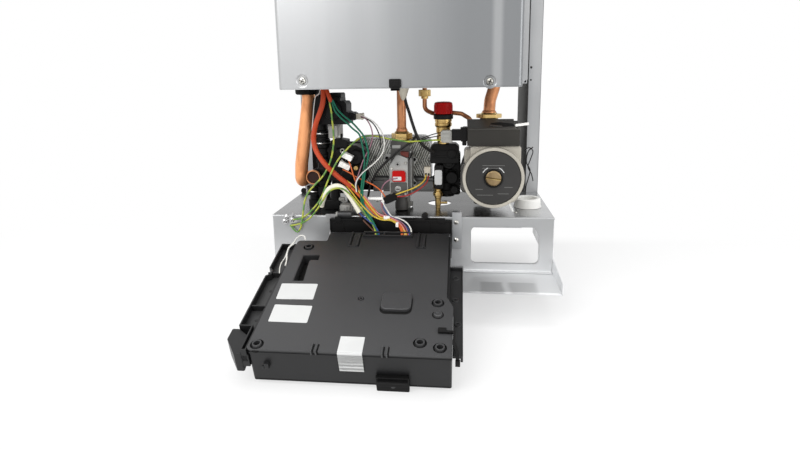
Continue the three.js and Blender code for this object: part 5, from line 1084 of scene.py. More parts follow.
# Gas valve with its red coil
valve = Piece("gas_valve_block", "aluminium", replaces=["gas_valve"])
FRONT = 14
valve.prism(rounded(rect(-28.6, -0.8, 105, 184.3), 3, 4), "y", 24, 75.5, soft=0.8,
            finish="dark_cast")
valve.prism(rounded([(-29.5, 105), (-3, 105), (-3, 160.2), (-13.4, 164.6), (-19, 165.4),
                     (-29.5, 150)], [2, 2, 1, 1, 4, 5], 4), "y", FRONT, 24, soft=0.9)
valve.prism(rounded(rect(-28, -4.4, 105.6, 126), 1.4, 3), "y", FRONT - 0.9, FRONT + 2, soft=0.5,
            finish="dark_cast")
valve.block((-28.6, -3.4), (FRONT - 1.2, FRONT + 3), (104.6, 107), soft=0.5)
valve.block((-2.8, 0.4), (15.6, 60), (108, 158), soft=0.5, finish="dark_cast")
valve.block((0.5, 1.7), (17, 60), (106, 160), soft=0.3)
for z in (166, 172.5, 179):
    valve.block((-30.2, 0.6), (26, 70), (z, z + 3.6), soft=0.6)
valve.block((-26, -14), (22.6, 26), (173.4, 178), soft=0.5)
valve.turned([(0, -1.2), (2.6, -1.2), (3.2, -0.4), (4.6, -0.4), (5, 0.6), (0, 0.6)], "y",
             (-17.4, FRONT, 152), 28)
# painted shade: a dark dot in the screw's centre
valve.rod(1.5, "y", (-17.4, 0, 152), FRONT - 1.6, FRONT - 1.0, 20, finish="black_rubber")
valve.turned([(0, -2.2), (3.4, -2.2), (4.4, -1.4), (4.8, 0.4), (0, 0.4)], "y",
             (-17.4, FRONT, 116.6), 30)
# painted shade: a dark strip for the adjusting screw's slot
valve.block((-19.8, -15), (FRONT - 2.5, FRONT - 2), (116, 117.2), finish="black_rubber")
for x, z in ((-26, 146), (-6, 154), (-26, 109.6), (-6.4, 109.6)):
    valve.turned([(0, -1.8), (1.6, -1.8), (2.1, -0.9), (2.1, 0.4), (0, 0.4)], "y", (x, FRONT, z),
                 18, finish="screw_steel")
EARS = [([(-1, 160), (6.6, 153.4), (6.6, 150), (1, 141.4), (-1, 141.4)], (2.4, 152.4)),
        ([(-1, 127), (5.8, 118), (5.8, 112), (-1, 107.4)], (2.2, 116.6)),
        ([(-43.4, 151), (-38, 147.4), (-28, 147.4), (-28, 161), (-38, 161), (-43.4, 158.6)],
         (-38.4, 154.2))]
for corners, hole in EARS:
    valve.prism(rounded(corners, 2.2, 4), "y", 57, 61, [ring(hole, 2.7, 20)], soft=0.5)
    # painted shade: a dark fill inside each ear's hole
    valve.rod(2.6, "y", (hole[0], 0, hole[1]), 59.6, 60.6, 20, finish="black_rubber")
valve.rod(9, "z", (-13, 60, 0), 62, 106, 28, soft=0.4)
valve.hexagon(23, "z", (-13, 60, 0), 81.2, 88, soft=0.8)
valve.turned([(0, 81), (9.4, 81), (10, 82), (10, 91), (9, 93), (9, 105), (0, 105)], "z",
             (-15, 40, 0), 36, finish="dark_cast")
valve.done()
coil = Piece("gas_valve_coil_cap", "red_plastic", replaces=["gas_valve_coil"])
coil.prism(rounded([(-25, 127.5), (-6, 127.5), (-6, 140), (-8, 143.3), (-25, 143.3)],
                   [2, 2, 2, 2, 2], 4), "y", FRONT - 4.6, FRONT - 0.2, soft=0.8)
coil.prism(rounded([(-13.6, 169.8), (-2.3, 169.1), (-2.3, 161), (-12.9, 165.2)], 0.8), "y", 15,
           23.6, soft=0.5, finish="dark_red")
coil.prism(rounded(rect(-23.8, -12, 129.6, 135), 0.6), "y", FRONT - 4.85, FRONT - 4.4,
           finish="white_label")
coil.done()

# Plate heat exchanger: a brazed stack whose front plate carries pressed chevrons
STACK_LEFT, STACK_RIGHT, STACK_LOW, STACK_HIGH, STACK_FRONT = -93, 27, 110, 184, 79
STACK_COUNT, STACK_PITCH, STACK_CORNER = 9, 3.6, 14
STRIPE_PITCH, STRIPE_WIDE, STRIPE_DEEP = 3.7, 1.9, 1.5
STRIPE_LEAN, STRIPE_MIDDLE, STRIPE_EDGE, STRIPE_STEPS = 0.45, 148.6, 4, 140
CORNER_CUT = 7


def stack_outline(margin, corner):
    return rounded(rect(STACK_LEFT + margin, STACK_RIGHT - margin, STACK_LOW + margin,
                        STACK_HIGH - margin), corner, 7)


stack = Piece("plate_stack", "stainless", replaces=["plate_exchanger"])
full, braze = stack_outline(0, STACK_CORNER), stack_outline(1.4, STACK_CORNER)
for i in range(STACK_COUNT):
    y = STACK_FRONT + i * STACK_PITCH
    stack.prism(full, "y", y, y + STACK_PITCH * 0.55, soft=0.3)
    stack.prism(braze, "y", y + STACK_PITCH * 0.4, y + STACK_PITCH * 1.05, finish="copper")
y = STACK_FRONT + STACK_COUNT * STACK_PITCH
stack.prism(full, "y", y, y + 1.4, soft=0.3)
# painted shade: the valleys between the pressed chevrons
stack.prism(stack_outline(2.6, STACK_CORNER - 2), "y", STACK_FRONT - 0.5, STACK_FRONT + 0.4,
            soft=0.3, finish="valley_steel")


def stripe_runs(apex):
    """The stretches of one pressed chevron inside the plate's edge, from below to above."""
    left, right = STACK_LEFT + STRIPE_EDGE, STACK_RIGHT - STRIPE_EDGE
    low, high = STACK_LOW + STRIPE_EDGE, STACK_HIGH - STRIPE_EDGE
    inside = []
    for k in range(STRIPE_STEPS + 1):
        z = low + (high - low) * k / STRIPE_STEPS
        x = apex + abs(z - STRIPE_MIDDLE) * STRIPE_LEAN
        from_side = min(x - left, right - x)
        if from_side >= 0 and from_side + min(z - low, high - z) >= CORNER_CUT:
            inside.append((x, z))
            continue
        if len(inside) > 3:
            yield inside
        inside = []
    if len(inside) > 3:
        yield inside


for i in range(round((STACK_RIGHT - STACK_LEFT + 16) / STRIPE_PITCH)):
    for run in stripe_runs(STACK_LEFT - 14 + i * STRIPE_PITCH):
        bend = min(run, key=lambda at: at[0])
        line = [run[0], bend, run[-1]] if bend not in (run[0], run[-1]) else [run[0], run[-1]]
        outline = line + [(x + STRIPE_WIDE, z) for x, z in reversed(line)]
        # painted light: the ridges of the pressed chevrons
        stack.prism(outline, "y", STACK_FRONT - STRIPE_DEEP, STACK_FRONT, soft=0.35, segments=1,
                    finish="ridge_steel")
stack.done(sharp=60)
# painted shade: the carrier takes the darker copy of the sheet
carrier = Piece("exchanger_carrier", "dark_sheet", finish="rail_back")
carrier.prism([(69.5, 101), (77, 101), (77, 122), (74.6, 124.6), (73.4, 124.6), (75.6, 121.4),
               (75.6, 117), (69.5, 117)], "x", -62, 70, soft=0.6)
carrier.block((-60, 68), (68.6, 70), (103, 104.4), soft=0.4)
# painted shade: a dark sheet under the exchanger
carrier.block((-92, 26), (84, 86), (100, 112), finish="black_rubber")
carrier.done()

# Left hydraulic group: column, clips, flow tail, actuator and flow sensor
COLUMN = (-133.5, 52, 0)
group = Piece("flow_group_body", "black_plastic", replaces=["flow_group"])
group.turned([(0, 80.4), (8, 80.4), (8, 116), (10.5, 118), (10.5, 122), (9.6, 123), (9.6, 136),
              (10.5, 137), (10.5, 140), (9, 142), (9, 156), (10.4, 157.4), (10.4, 161), (9, 162.4),
              (9, 170), (11, 172), (11, 183), (10, 184.4), (10, 187), (11, 188.4), (11, 196),
              (8.6, 198), (8.6, 213.5), (0, 213.5)], "z", COLUMN, 36)
group.rod(9.8, "y", UNION, 33, 56, 32, soft=0.6)
group.block((-146, -133.5), (44, 56), (123, 137), soft=1)
group.prism(rounded(rect(-129.5, -98, 124, 180), 6, 4), "y", 58, 74, soft=1.4)
group.block((-156, -130), (68, 80), (104, 176), soft=2)
group.block((-124, -98), (56, 72), (100, 126), soft=2)
group.prism(rounded([(-124, 122), (-98, 122), (-98, 176), (-106, 184), (-118, 184), (-124, 170)], 4,
                    4), "y", 42, 60, soft=1.4)
group.rod(5.4, "y", (-113, 0, 168), 38.6, 44, 28, soft=0.8)
for z in (150, 134):
    group.block((-122, -100), (40.4, 44), (z, z + 3), soft=0.7)
for z in (127, 167):
    group.rod(8, "x", (0, 66, z), -133.5, -76, 28, soft=0.4)
    group.rod(8, "y", (-76, 0, z), 62, 75.6, 28, soft=0.4)
for z in (124, 148, 165, 186):
    group.block((-143.6, -123.4), (46.5, 49.5), (z, z + 6), soft=0.6)
group.block((-141, -126), (40.6, 46), (100, 114), soft=1.2)
group.rod(4.2, "y", (-128, 0, 152), 37.6, 46, 24, soft=0.6)
group.done()

for name, z in (("upper", 192.9), ("lower", 178.5)):
    clip = Piece(f"flow_clip_wire_{name}", "stainless", replaces=[f"flow_clip_{name}"])
    loop = [(*at, z) for at in arc(COLUMN, 12, range(-205, 26, 11))]
    clip.tube([(-145.6, 61, z), *loop, (-121.4, 61, z)], 1.1, 10)
    clip.done()

tail = Piece("flow_tail", "black_plastic", replaces=["flow_outlet"])
tail.turned([(0, 60), (7, 60), (7, 80), (10, 80.4), (10, 90), (8, 91), (8, 97), (12.4, 98),
             (12.4, 101), (11, 102), (11, 105.4), (12.4, 106.4), (12.4, 110), (11, 111), (0, 111)],
            "z", (-152, 62, 0), 36)
hoop = [(*at, 103.7) for at in arc((-152, 62), 12.2, range(160, 385, 12))]
tail.tube([(-165, 70, 103.7), *hoop, (-139, 70, 103.7)], 1.0, 10, finish="stainless")
tail.done()

act = Piece("diverter_motor", "black_plastic", replaces=["diverter_actuator"])
outline = rounded([(-138.6, 208.2), (-87.1, 208.3), (-86.9, 214.3), (-86.9, 225), (-89.4, 225.7),
                   (-89.1, 236.3), (-91.8, 240.6), (-97.6, 240.6), (-97.6, 247), (-134, 247),
                   (-138, 240)], [2, 1.5, 1, 1, 1, 3, 2, 1, 3, 3, 3], 4)
act.prism(outline, "y", 18, 56, soft=1.2, segments=3)
act.prism(rounded([(-129.2, 244), (-97, 244), (-97, 252.3), (-116, 252.3), (-129.2, 250)], 2.4, 4),
          "y", 22, 52, soft=1.2)
act.turned([(0, 11), (9, 11), (12.4, 12.4), (13, 14), (13, 20), (0, 20)], "y", MOTOR_FACE, 40)
act.turned([(0, 9.8), (2.4, 9.8), (3, 11.2), (0, 11.2)], "y", MOTOR_FACE, 20)
act.block((-87.4, -79.6), (20, 46), (214.3, 224.8), soft=0.8)
act.block((-80, -77.6), (19.4, 46.4), (213.9, 223.4), soft=0.5)
for z in (216.4, 219.4, 222.4):
    act.block((-85, -79), (18.6, 20.6), (z - 0.7, z + 0.7), soft=0.3)
act.block((-118.4, -101), (26, 46), (188, 209), soft=0.8, finish="grey_plastic")
act.block((-116, -104), (22.6, 27), (190, 206), soft=0.8, finish="grey_plastic")
act.block((-111, -108), (21.4, 23), (191, 205), soft=0.6, finish="grey_plastic")
for x, z in ((-130, 218), (-88, 213.4), (-119, 240)):
    act.turned([(0, 16.2), (2.2, 16.4), (2.6, 17.4), (2.6, 19), (0, 19)], "y", (x, 0, z), 20,
               finish="dark_sheet")
act.block((-77.4, -67), (25, 37), (214.6, 222.8), soft=0.7, finish="beige_plastic")
act.block((-69.4, -67.6), (24.4, 37.6), (214, 223.4), soft=0.4, finish="beige_plastic")
act.done()

sensor = Piece("flow_sensor_body", "black_plastic", replaces=["flow_sensor"])
outline = rounded([(-110, 121), (-70, 121), (-70, 150), (-66, 158), (-66, 170), (-80, 177),
                   (-98, 177), (-110, 168)], 4, 4)
sensor.prism(outline, "y", 30, 57.6, soft=1.6, segments=3)
sensor.turned([(0, 23.4), (3, 23.4), (4, 24.4), (9.6, 24.4), (10.6, 26), (12, 27), (12, 31),
               (0, 31)], "y", (-80, 0, 160), 40)
sensor.turned([(0, 22), (7, 22), (9, 23.4), (9, 31), (0, 31)], "y", (-94, 0, 133), 36)
sensor.turned([(2, 24.6), (3.2, 24.6), (3.2, 30.5), (2, 30.5)], "y", (-99, 0, 170), 24, closed=True,
              finish="grey_plastic")
sensor.turned([(0, 21), (3, 21.4), (3.4, 23), (3.4, 30), (0, 30)], "y", (-79, 0, 145), 24,
              finish="brass")
for z in (126, 152, 180):
    sensor.block((-108, -70), (27.6, 31), (z, z + 3), soft=0.8)
sensor.rod(4.4, "z", (-104.3, 32, 0), 184, 188, 28, soft=0.8)
sensor.rod(5.6, "z", (-104.3, 32, 0), 188, 194, 28, soft=0.9)
sensor.rod(1.4, "y", (-102.6, 0, 190.6), 25.8, 27, 20, finish="white_label")
sensor.prism(rounded([(-112, 174), (-91.8, 174), (-91.5, 185), (-108.7, 188), (-112, 184)], 1.6, 3),
             "y", 26, 48, soft=1.2)
sensor.rod(9.6, "z", (-86, 40, 0), 96, 123, 32, soft=1.2)
sensor.rod(10.8, "z", (-86, 40, 0), 84, 98, 32, soft=1.2)
sensor.done()
for name, (x, y, z), lean in (("upper", (-90, 18.1, 163), 28), ("lower", (-95, 24.1, 148.5), 26)):
    plug = Piece(f"sensor_plug_{name}_housing", "white_plastic", replaces=[f"sensor_plug_{name}"])
    turn = about("y", lean, (x, y, z))
    plug.block((x - 8, x + 8), (y - 5.5, y + 5.5), (z - 4, z + 4), soft=0.6, lean=turn)
    plug.block((x - 3, x + 4), (y - 6.4, y - 4), (z - 1.6, z + 1.6), soft=0.4, lean=turn)
    plug.block((x - 8.6, x - 6.4), (y - 5.9, y + 5.9), (z - 4.4, z + 4.4), soft=0.4, lean=turn)
    plug.done()

# Right hydraulic group with the safety valve above it
group = Piece("return_group_body", "black_plastic", replaces=["return_group"])
group.turned([(0, 95), (12, 95), (12, 104), (15, 106), (15, 116), (13.6, 117.4), (13.6, 128),
              (15, 129.4), (15, 138), (12.5, 140), (12.5, 150), (14, 151.4), (14, 158),
              (12.5, 159.4), (12.5, 166), (9, 168), (9, 177.4), (0, 177.4)], "z", (50, 74, 0), 40)
group.prism(rounded([(27, 149), (69, 149), (69, 173), (64, 177.5), (32, 177.5), (27, 172)], 2.6, 4),
            "y", 40, 66, soft=1.4)
for low, high in ((158, 160.6), (166, 168.4)):
    group.block((29, 66), (38.6, 42), (low, high), soft=0.7)
group.rod(6.4, "y", (58.6, 0, 163), 37.6, 42, 32, soft=0.8)
group.rod(5, "y", (38, 0, 114), 58.9, 66, 24)
group.prism(rounded([(36, 98), (71, 98), (71, 160), (60, 170), (36, 170)], 4, 4), "y", 62, 90,
            soft=1.6)
group.turned([(0, 42.4), (5.4, 42.4), (6.2, 44), (8.8, 44), (10, 45.4), (10, 64), (0, 64)], "y",
             (54, 0, 150), 40)
group.rod(8, "x", (0, 72, 118), 30, 50, 28, soft=0.6)
group.turned([(0, 50), (8, 50), (9.4, 51.4), (9.4, 64), (0, 64)], "y", (58, 0, 126), 32)
group.turned([(0, 52), (5, 52), (6.4, 53.4), (6.4, 64), (0, 64)], "y", (62, 0, 107), 28)
for z in (134, 144, 160):
    group.block((34.6, 66), (59.6, 64), (z, z + 2.6), soft=0.7)
group.prism(rounded(rect(33, 46.4, 112, 147), 3, 4), "y", 36, 64, soft=1.2)
group.prism(rounded(rect(33.6, 44.4, 118.4, 140.2), 2.4, 4), "y", 35.4, 36.4, soft=0.25,
            finish="white_label")
group.block((18.7, 28), (32, 46), (130.4, 145), soft=0.8, finish="beige_plastic")
for x in (20, 24.4):
    group.block((x, x + 2.4), (30.8, 32.6), (132.4, 136.4), soft=0.3, finish="black_plastic")
group.done()

safety = Piece("safety_valve_brass", "brass", replaces=["safety_valve_body"])
safety.turned([(0, 178), (8.4, 178), (8.4, 181), (9.4, 182), (9.4, 190), (8.6, 191), (8.6, 193),
               (10.2, 194), (10.2, 201.4), (11.8, 203), (12.2, 204), (12.2, 207.4), (11.4, 208),
               (11.4, 209.2), (12.2, 209.8), (12.2, 213), (0, 213)], "z", SAFETY, 40)
safety.rod(6, "y", (46, 0, 186), 31, 45, 28, soft=0.8)
safety.rod(5, "x", (0, 50, 188), 46, 61.2, 24, soft=0.4)
safety.done()
ring_piece = Piece("safety_valve_collar", "black_plastic", replaces=["safety_valve_ring"])
ring_piece.turned([(0, 213), (13.2, 213), (14, 213.8), (14, 219), (13.2, 219.8), (3.6, 219.8),
                   (3.6, 228), (0, 228)], "z", SAFETY, 40)
ring_piece.done()
cap = Piece("safety_valve_handle", "red_plastic", body="safety_cap", replaces=["safety_valve_cap"])
cap.turned([(4.6, 220.6), (12.8, 220.6), (13, 221.4), (13, 234.6), (12.2, 236.4), (9, 237.4),
            (0, 237.9), (0, 229), (4.6, 229)], "z", SAFETY, 48)
for x, y in ring(SAFETY[:2], 12.9, 24):
    cap.tube([(x, y, 222), (x, y, 233)], 0.45, 8)
cap.done()
switch = Piece("pressure_switch_body", "black_plastic", replaces=["pressure_switch"])
switch.turned([(0, 21.4), (6.2, 21.4), (6.8, 22.4), (6.8, 41), (5, 42), (5, 58), (0, 58)], "y",
              (66.6, 0, 191), 40)
switch.block((58.6, 76), (11, 26), (185.4, 200.6), soft=0.9)
switch.block((74, 80), (10.4, 27), (184.6, 204), soft=0.7)
switch.block((60, 72), (10.2, 12), (188, 198), soft=0.4)
switch.block((45, 59), (14, 26), (182.4, 199.4), soft=0.8, finish="grey_plastic")
switch.block((43.4, 46), (13.4, 26.6), (184, 198), soft=0.4, finish="grey_plastic")
for z in (188, 194):
    switch.block((46.6, 57), (13.2, 14.6), (z, z + 1), soft=0.2, finish="grey_plastic")
switch.done()

drain = Piece("drain_fitting_brass", "brass", replaces=["drain_fitting"])
drain.turned([(0, 60), (3.6, 60), (3.6, 84), (4.4, 85), (4.4, 95), (5.4, 96), (5.4, 99), (4.6, 100),
              (4.6, 103), (6, 104), (6, 106), (5, 107), (5, 109), (7, 110.4), (7, 118.6),
              (6.2, 120), (4.4, 122), (0, 122)], "z", DRAIN, 32)
drain.hexagon(13, "z", DRAIN, 99, 104, soft=0.6)
drain.prism(rounded(rect(41.6, 52, 86.6, 90), 1.4), "y", 49.6, 54.4, soft=0.7)
drain.done()

# Pump: cast housing, round motor, dark end face with its brass vent screw, terminal box
PUMP = (115.4, -4, 135.8)
px, py, pz = PUMP
house = Piece("pump_casting", "grey_cast", replaces=["pump_housing"])
house.turned([(0, 56), (41, 56), (44, 58.6), (44, 84), (40, 88), (0, 88)], "y", (px, 0, pz), 44,
             finish="dark_cast")
shoulders = rounded([(84, 98), (153, 98), (153, 178.6), (84, 178.6)], [16, 16, 4, 4], 5)
house.prism(shoulders, "y", 8, 57, soft=1.6, segments=3)
house.rod(4.5, "z", (88, 60, 0), 150, 177.6, 24, finish="dark_cast")
house.prism(rounded(rect(71, 90, 108, 152), 7, 5), "y", 30, 57, soft=3, segments=3,
            finish="dark_cast")
house.prism(rounded(rect(76, 90, 150, 172), 5, 5), "y", 26, 57, soft=2, segments=3)
house.turned([(0, 170), (14, 170), (14, 206), (13, 207), (13, 212.4), (0, 212.4)], "z", LIFT_LINE,
             36, finish="dark_cast")
house.rod(13, "z", (104, 70, 0), 84, 100, 32, soft=1, finish="dark_cast")
house.prism([(136, 99.6), (139.6, 99.6), (145.4, 86), (143, 86)], "y", 10.4, 13.6, soft=0.5,
            finish="white_plastic")
house.done()
motor = Piece("pump_motor_shell", "grey_cast", replaces=["pump_motor"])
motor.turned([(0, 3), (37.5, 3), (37.5, 0.5), (37.9, 0), (41.2, 0), (41.8, 0.7), (41.8, 23),
              (40.6, 27.4), (0, 27.4)], "y", PUMP, 72)
motor.done()
face = Piece("pump_end_face", "charcoal_plastic", finish="face_plate", replaces=["pump_face"])
face.turned([(11, -1.4), (12.6, -1.4), (13.2, -0.4), (13.4, 0.8), (36.4, 0.8), (37.2, 1.4),
             (37.2, 2.6), (11, 2.6)], "y", PUMP, 72, closed=True)
for first in (28, 118):
    degrees = [first + 34 * k / 8 for k in range(9)]
    outline = arc((px, pz), 15.6, degrees) + arc((px, pz), 16.6, reversed(degrees))
    face.prism(outline, "y", py + 0.5, py + 0.9, finish="white_label")
for x0, x1, z in ((-15, 15, 17), (-15, 12, 13.4), (-24, -14, -16), (15, 26, -13), (-22, 0, -24),
                  (6, 21, -22)):
    face.block((px + x0, px + x1), (py + 0.55, py + 0.9), (pz + z, pz + z + 0.8),
               finish="faint_print")
face.sleeve(10.9, 12.6, "y", PUMP, -1.7, 0.9, 48, soft=0.3, finish="black_rubber")
face.done()
knob = Piece("pump_vent_screw", "brass", body="pump_vent", replaces=["pump_knob"])
knob.turned([(0, -2.4), (9, -2.4), (10.4, -1.4), (10.6, -0.4), (10.6, 2.4), (0, 2.4)], "y", PUMP,
            56, finish="vent_brass")
tilt = about("y", 8, PUMP)
# painted highlight and painted shade: the slot's lit edge and its shaded groove
knob.block((px - 10.2, px + 10.2), (py - 3.0, py - 2.2), (pz - 1.5, pz - 0.6), soft=0.2, lean=tilt,
           finish="bright_brass")
knob.block((px - 10.2, px + 10.2), (py - 2.7, py - 2.3), (pz - 0.6, pz + 1.0), lean=tilt,
           finish="dark_brass")
knob.done()
term = Piece("terminal_box_shell", "charcoal_plastic", finish="terminal_plastic",
             replaces=["terminal_box"])
term.prism(rounded([(5, 179), (41, 179), (41, 210.6), (5, 200.8)], 1.2, 3), "x", 80.2, 150.2,
           soft=1.2, segments=3)
term.block((79.8, 150.6), (4.4, 40), (178.9, 181.6), soft=0.5)
# the lid takes the paler, painted-light copy of the box's plastic
term.prism([(4.6, 200.4), (41.4, 210.4), (41.4, 213), (4.6, 203)], "x", 79.8, 145, soft=0.9,
           segments=3, finish="terminal_lid")
term.prism([(4.6, 200.4), (34, 208.4), (30, 208.8), (4.6, 202)], "x", 144, 150.6, soft=0.8,
           finish="terminal_lid")


def lid_height(y):
    """The terminal box's sloping lid at a depth."""
    return 203 + (y - 4.6) * 10 / 36.8


RECESS = rounded([(111, 15), (128, 10), (144, 12), (142, 22), (124, 27), (112, 24)], 3, 4)
RIDGE = rounded([(109, 12.6), (126, 8.6), (128, 10.4), (112, 15)], 0.8, 3)
# painted shade in the lid's recess, and the ridge in the lid's paler painted-light plastic
for outline, low, high, soft, finish in ((RECESS, -0.4, 0.3, 0.15, "black_rubber"),
                                         (RIDGE, 0, 1.3, 0.3, "terminal_lid")):
    bm = prism(outline, "z", low, high)
    for vert in bm.verts:
        vert.co.z += lid_height(vert.co.y)
    term.add(bm, soft=soft, finish=finish)
for x, z, w, h in ((71, 184, 8, 14), (70.4, 196, 7.4, 7), (73, 178.6, 6, 6)):
    term.block((x, x + w), (12, 30), (z, z + h), soft=1.2, finish="black_plastic")
term.done()

# White collar, filling tap and small pieces at the plate
collar = Piece("collar_moulding", "white_plastic", replaces=["plate_collar"])
collar.turned([(13.4, 71), (13.4, 92.6), (14.4, 93.6), (17.4, 93.6), (18.6, 92.6), (19, 89),
               (19.4, 83), (20.4, 81.2), (20.4, 80.3), (14.2, 80.3), (14.2, 71)], "z",
              (170.8, 67.9, 0), 56, closed=True)
collar.done()
tap = Piece("filling_tap_knob", "grey_plastic", body="filling_tap", replaces=["tap_knob"])
tap.turned([(4.5, 80.4), (8.8, 80.4), (9.2, 81.4), (9.2, 90), (8.2, 92.4), (6.6, 93), (0, 93),
            (0, 86.4), (4.5, 86.4)], "z", (-94.5, 20, 0), 40)
for x, y in ring((-94.5, 20), 9.1, 14):
    tap.tube([(x, y, 81.6), (x, y, 90)], 0.9, 8)
tap.done()

# Control box, drawn in its own frame: x, u outwards from the hinge side, w up from the lid
LID = [(-108, 0), (56, 0), (56, 133), (63.5, 150), (63.5, 225), (-148, 225), (-148, 22), (-108, 22)]
LID_CORNERS = [1, 1, 4, 4, 2, 3, 5, 2]
POCKET = [(-132.5, 56.2), (-109, 55), (-108.7, 66.6), (-120, 67), (-117, 111), (-131.6, 111.2)]
BOSSES = [(-129.3, 37.5), (-138.8, 217.9), (46.3, 144), (30.3, 207.5), (50.9, 213.4)]
ENTRIES = [(-50, 6.2), (-10, 6.2)]
lid = Piece("box_lid_moulding", "charcoal_plastic", "control_box", finish="lid_plastic",
            replaces=["box_lid"])
pocket = rounded(POCKET, 1.6, 3)
holes = [pocket, *(ring(b, 7.2, 28) for b in BOSSES), ring((-42, 140), 3.6, 20),
         *(ring(e, 3.4, 20) for e in ENTRIES)]
lid.prism(rounded(LID, LID_CORNERS, 4), "z", -2, 0, holes, soft=0.7, segments=3)
# painted shade: a dark floor for the pocket
lid.prism(pocket, "z", -15, -13, finish="black_rubber")
lid.prism(pocket, "z", -14, -0.3, [rounded([(x + (0.9 if x < -120 else -0.9),
                                             u + (0.9 if u < 70 else -0.9)) for x, u in POCKET],
                                           1.2, 3)])
for x, u in BOSSES:
    lid.turned([(3.3, -4), (3.3, 1.4), (3.7, 2), (4.7, 2), (5.1, 1.4), (5.3, -0.6), (5.3, -4)], "z",
               (x, u, 0), 32)
    # painted shade: a dark fill under each boss's hole
    lid.rod(7.4, "z", (x, u, 0), -5, -2.2, 28, finish="black_rubber")
lid.turned([(0, -0.2), (5.2, -0.2), (4.6, 2.2), (3.4, 2.6), (2.6, 1.4), (0, 1.2)], "z", LOW_BOSS,
           32)
# painted shade: a dark ring around the boss
lid.sleeve(5.1, 6.5, "z", LOW_BOSS, -0.3, 0.12, 32, finish="black_rubber")
# painted shade: a dark fill under the lid's hole
lid.rod(3.8, "z", LID_HOLE, -5, -2.2, 20, finish="black_rubber")
lid.turned([(1.4, -3), (2.6, -3), (2.6, 0.4), (1.4, 0.4)], "z", LID_HOLE, 24, closed=True)
pad = rounded(rect(-17.2, 16.8, 131.5, 161.5), 7, 4)
lid.prism(pad, "z", -0.4, 4.2, soft=1.2, segments=3)
# painted shadow: a dark rim under the pad's edge
lid.prism(rounded(rect(-18.2, 17.8, 133, 165), 7.6, 4), "z", -0.3, 0.14, finish="black_rubber")
lid.prism(rounded(rect(-60.5, 7, 1.4, 4.2), 1), "z", -0.5, 4, soft=0.6)
lid.prism(rounded(rect(-60.5, 7, 8.6, 11), 1), "z", -0.5, 3, soft=0.6)
for x in (-60.5, -33, 4.6):
    lid.block((x, x + 2.4), (2, 10.6), (-0.5, 3.4), soft=0.5)
for x0, x1, u0, u1 in ((-77, -74.4, 1, 34), (-66, -63.6, 3, 34), (14, 16.6, 1, 36),
                       (22, 24.6, 3, 36)):
    lid.block((x0, x1), (u0, u1), (-0.5, 2.6), soft=0.6)
    # painted shadow: a dark strip beside each rib
    lid.block((x1 - 0.2, x1 + 1.3), (u0, u1), (-0.3, 0.14), finish="black_rubber")
for x in (-80.4, -75.6, -7.6, -2.8):
    lid.block((x, x + 1.7), (215, 226.4), (-4, 2), soft=0.5)
    # painted shadow: a dark strip beside each rib
    lid.block((x + 1.6, x + 3), (215, 225.6), (-4, 0.14), finish="black_rubber")
for x in (-77, 14):
    lid.block((x, x + 12), (33, 35.4), (-0.5, 1.2), soft=0.5)
lid.done()


def wall(points, low, high, thick):
    """A wall of one thickness along the inside of a closed outline."""
    inner = []
    for before, here, after in zip(points[-1:] + points[:-1], points, points[1:] + points[:1]):
        before, here, after = Vector(before), Vector(here), Vector(after)
        a, b = (here - before).normalized(), (after - here).normalized()
        side = Vector((-a.y - b.y, a.x + b.x))
        inner.append(tuple(here + side.normalized() * thick / max(0.3,
                                                                  math.sqrt((1 + a.dot(b)) / 2))))
    return prism(points, "z", low, high, [inner])


OUTER = [(-107.4, 0.6), (55.4, 0.6), (55.4, 133), (62.9, 150), (62.9, 224.4), (-147.4, 224.4),
         (-147.4, 22.6), (-107.4, 22.6)]
shell = Piece("box_shell_moulding", "charcoal_plastic", "control_box", finish="box_wall",
              replaces=["box_shell"])
shell_outline = rounded(OUTER, LID_CORNERS, 4)
shell.add(wall(shell_outline, -43, -2.5, 2.2))
vents = [ring((x, 120), 4.6, 18) for x in (-90, -20)]
shell.prism(shell_outline, "z", -44, -41.6, vents, soft=0.8)
shell.add(wall(rounded([(x + (-0.5 if x < -50 else 0.5), u + (0.5 if u > 100 else -0.2)) for x,
                        u in OUTER], LID_CORNERS, 4), -6.4, -4.6, 1.2), soft=0.3)
tray = [(-169, 29), (-148.2, 29), (-148.2, 226), (-155, 226), (-155, 190), (-169, 190), (-169, 100),
        (-164, 96), (-164, 90), (-169, 84)]
shell.add(wall(tray, -17, -1, 1.8), soft=0.3)
shell.prism(tray, "z", -12, -9.6, soft=0.3, finish="charcoal_plastic")
for u in (91, 154):
    shell.block((-168, -149), (u, u + 2), (-17, -2.4), soft=0.3)
for u in (60, 120, 172):
    shell.rod(2, "z", (-157, u, 0), -10, -9.4, 18)
shell.block((-153.6, -152), (30, 189), (-17, -6), soft=0.3)
shell.prism(rounded([(-177, 190), (-169, 190), (-156, 200), (-154, 227), (-162, 227), (-177, 206)],
                    1.5, 3), "z", -30, -6, soft=0.8)
shell.block((-156, -147), (196, 226), (-24, -8), soft=0.6)
shell.block((-131, -126), (224, 228.6), (-24, -17), soft=0.6)
shell.block((-133.6, -131), (226.4, 228.6), (-24, -20), soft=0.5)
for x, u in ((-138, 40), (48, 40), (-138, 210), (50, 210)):
    shell.rod(4, "z", (x, u, 0), -43, -2.6, 20)
for x, u in ((-107.4, 13.6), (55.4, 13.6)):
    shell.rod(8, "x", (0, u, -22.1), x - 0.6, x + 0.8, 28, soft=0.3)
for x in (-146, -120):
    shell.block((x, x + 5), (22, 24), (-30, -5), soft=0.4)
shell.done()

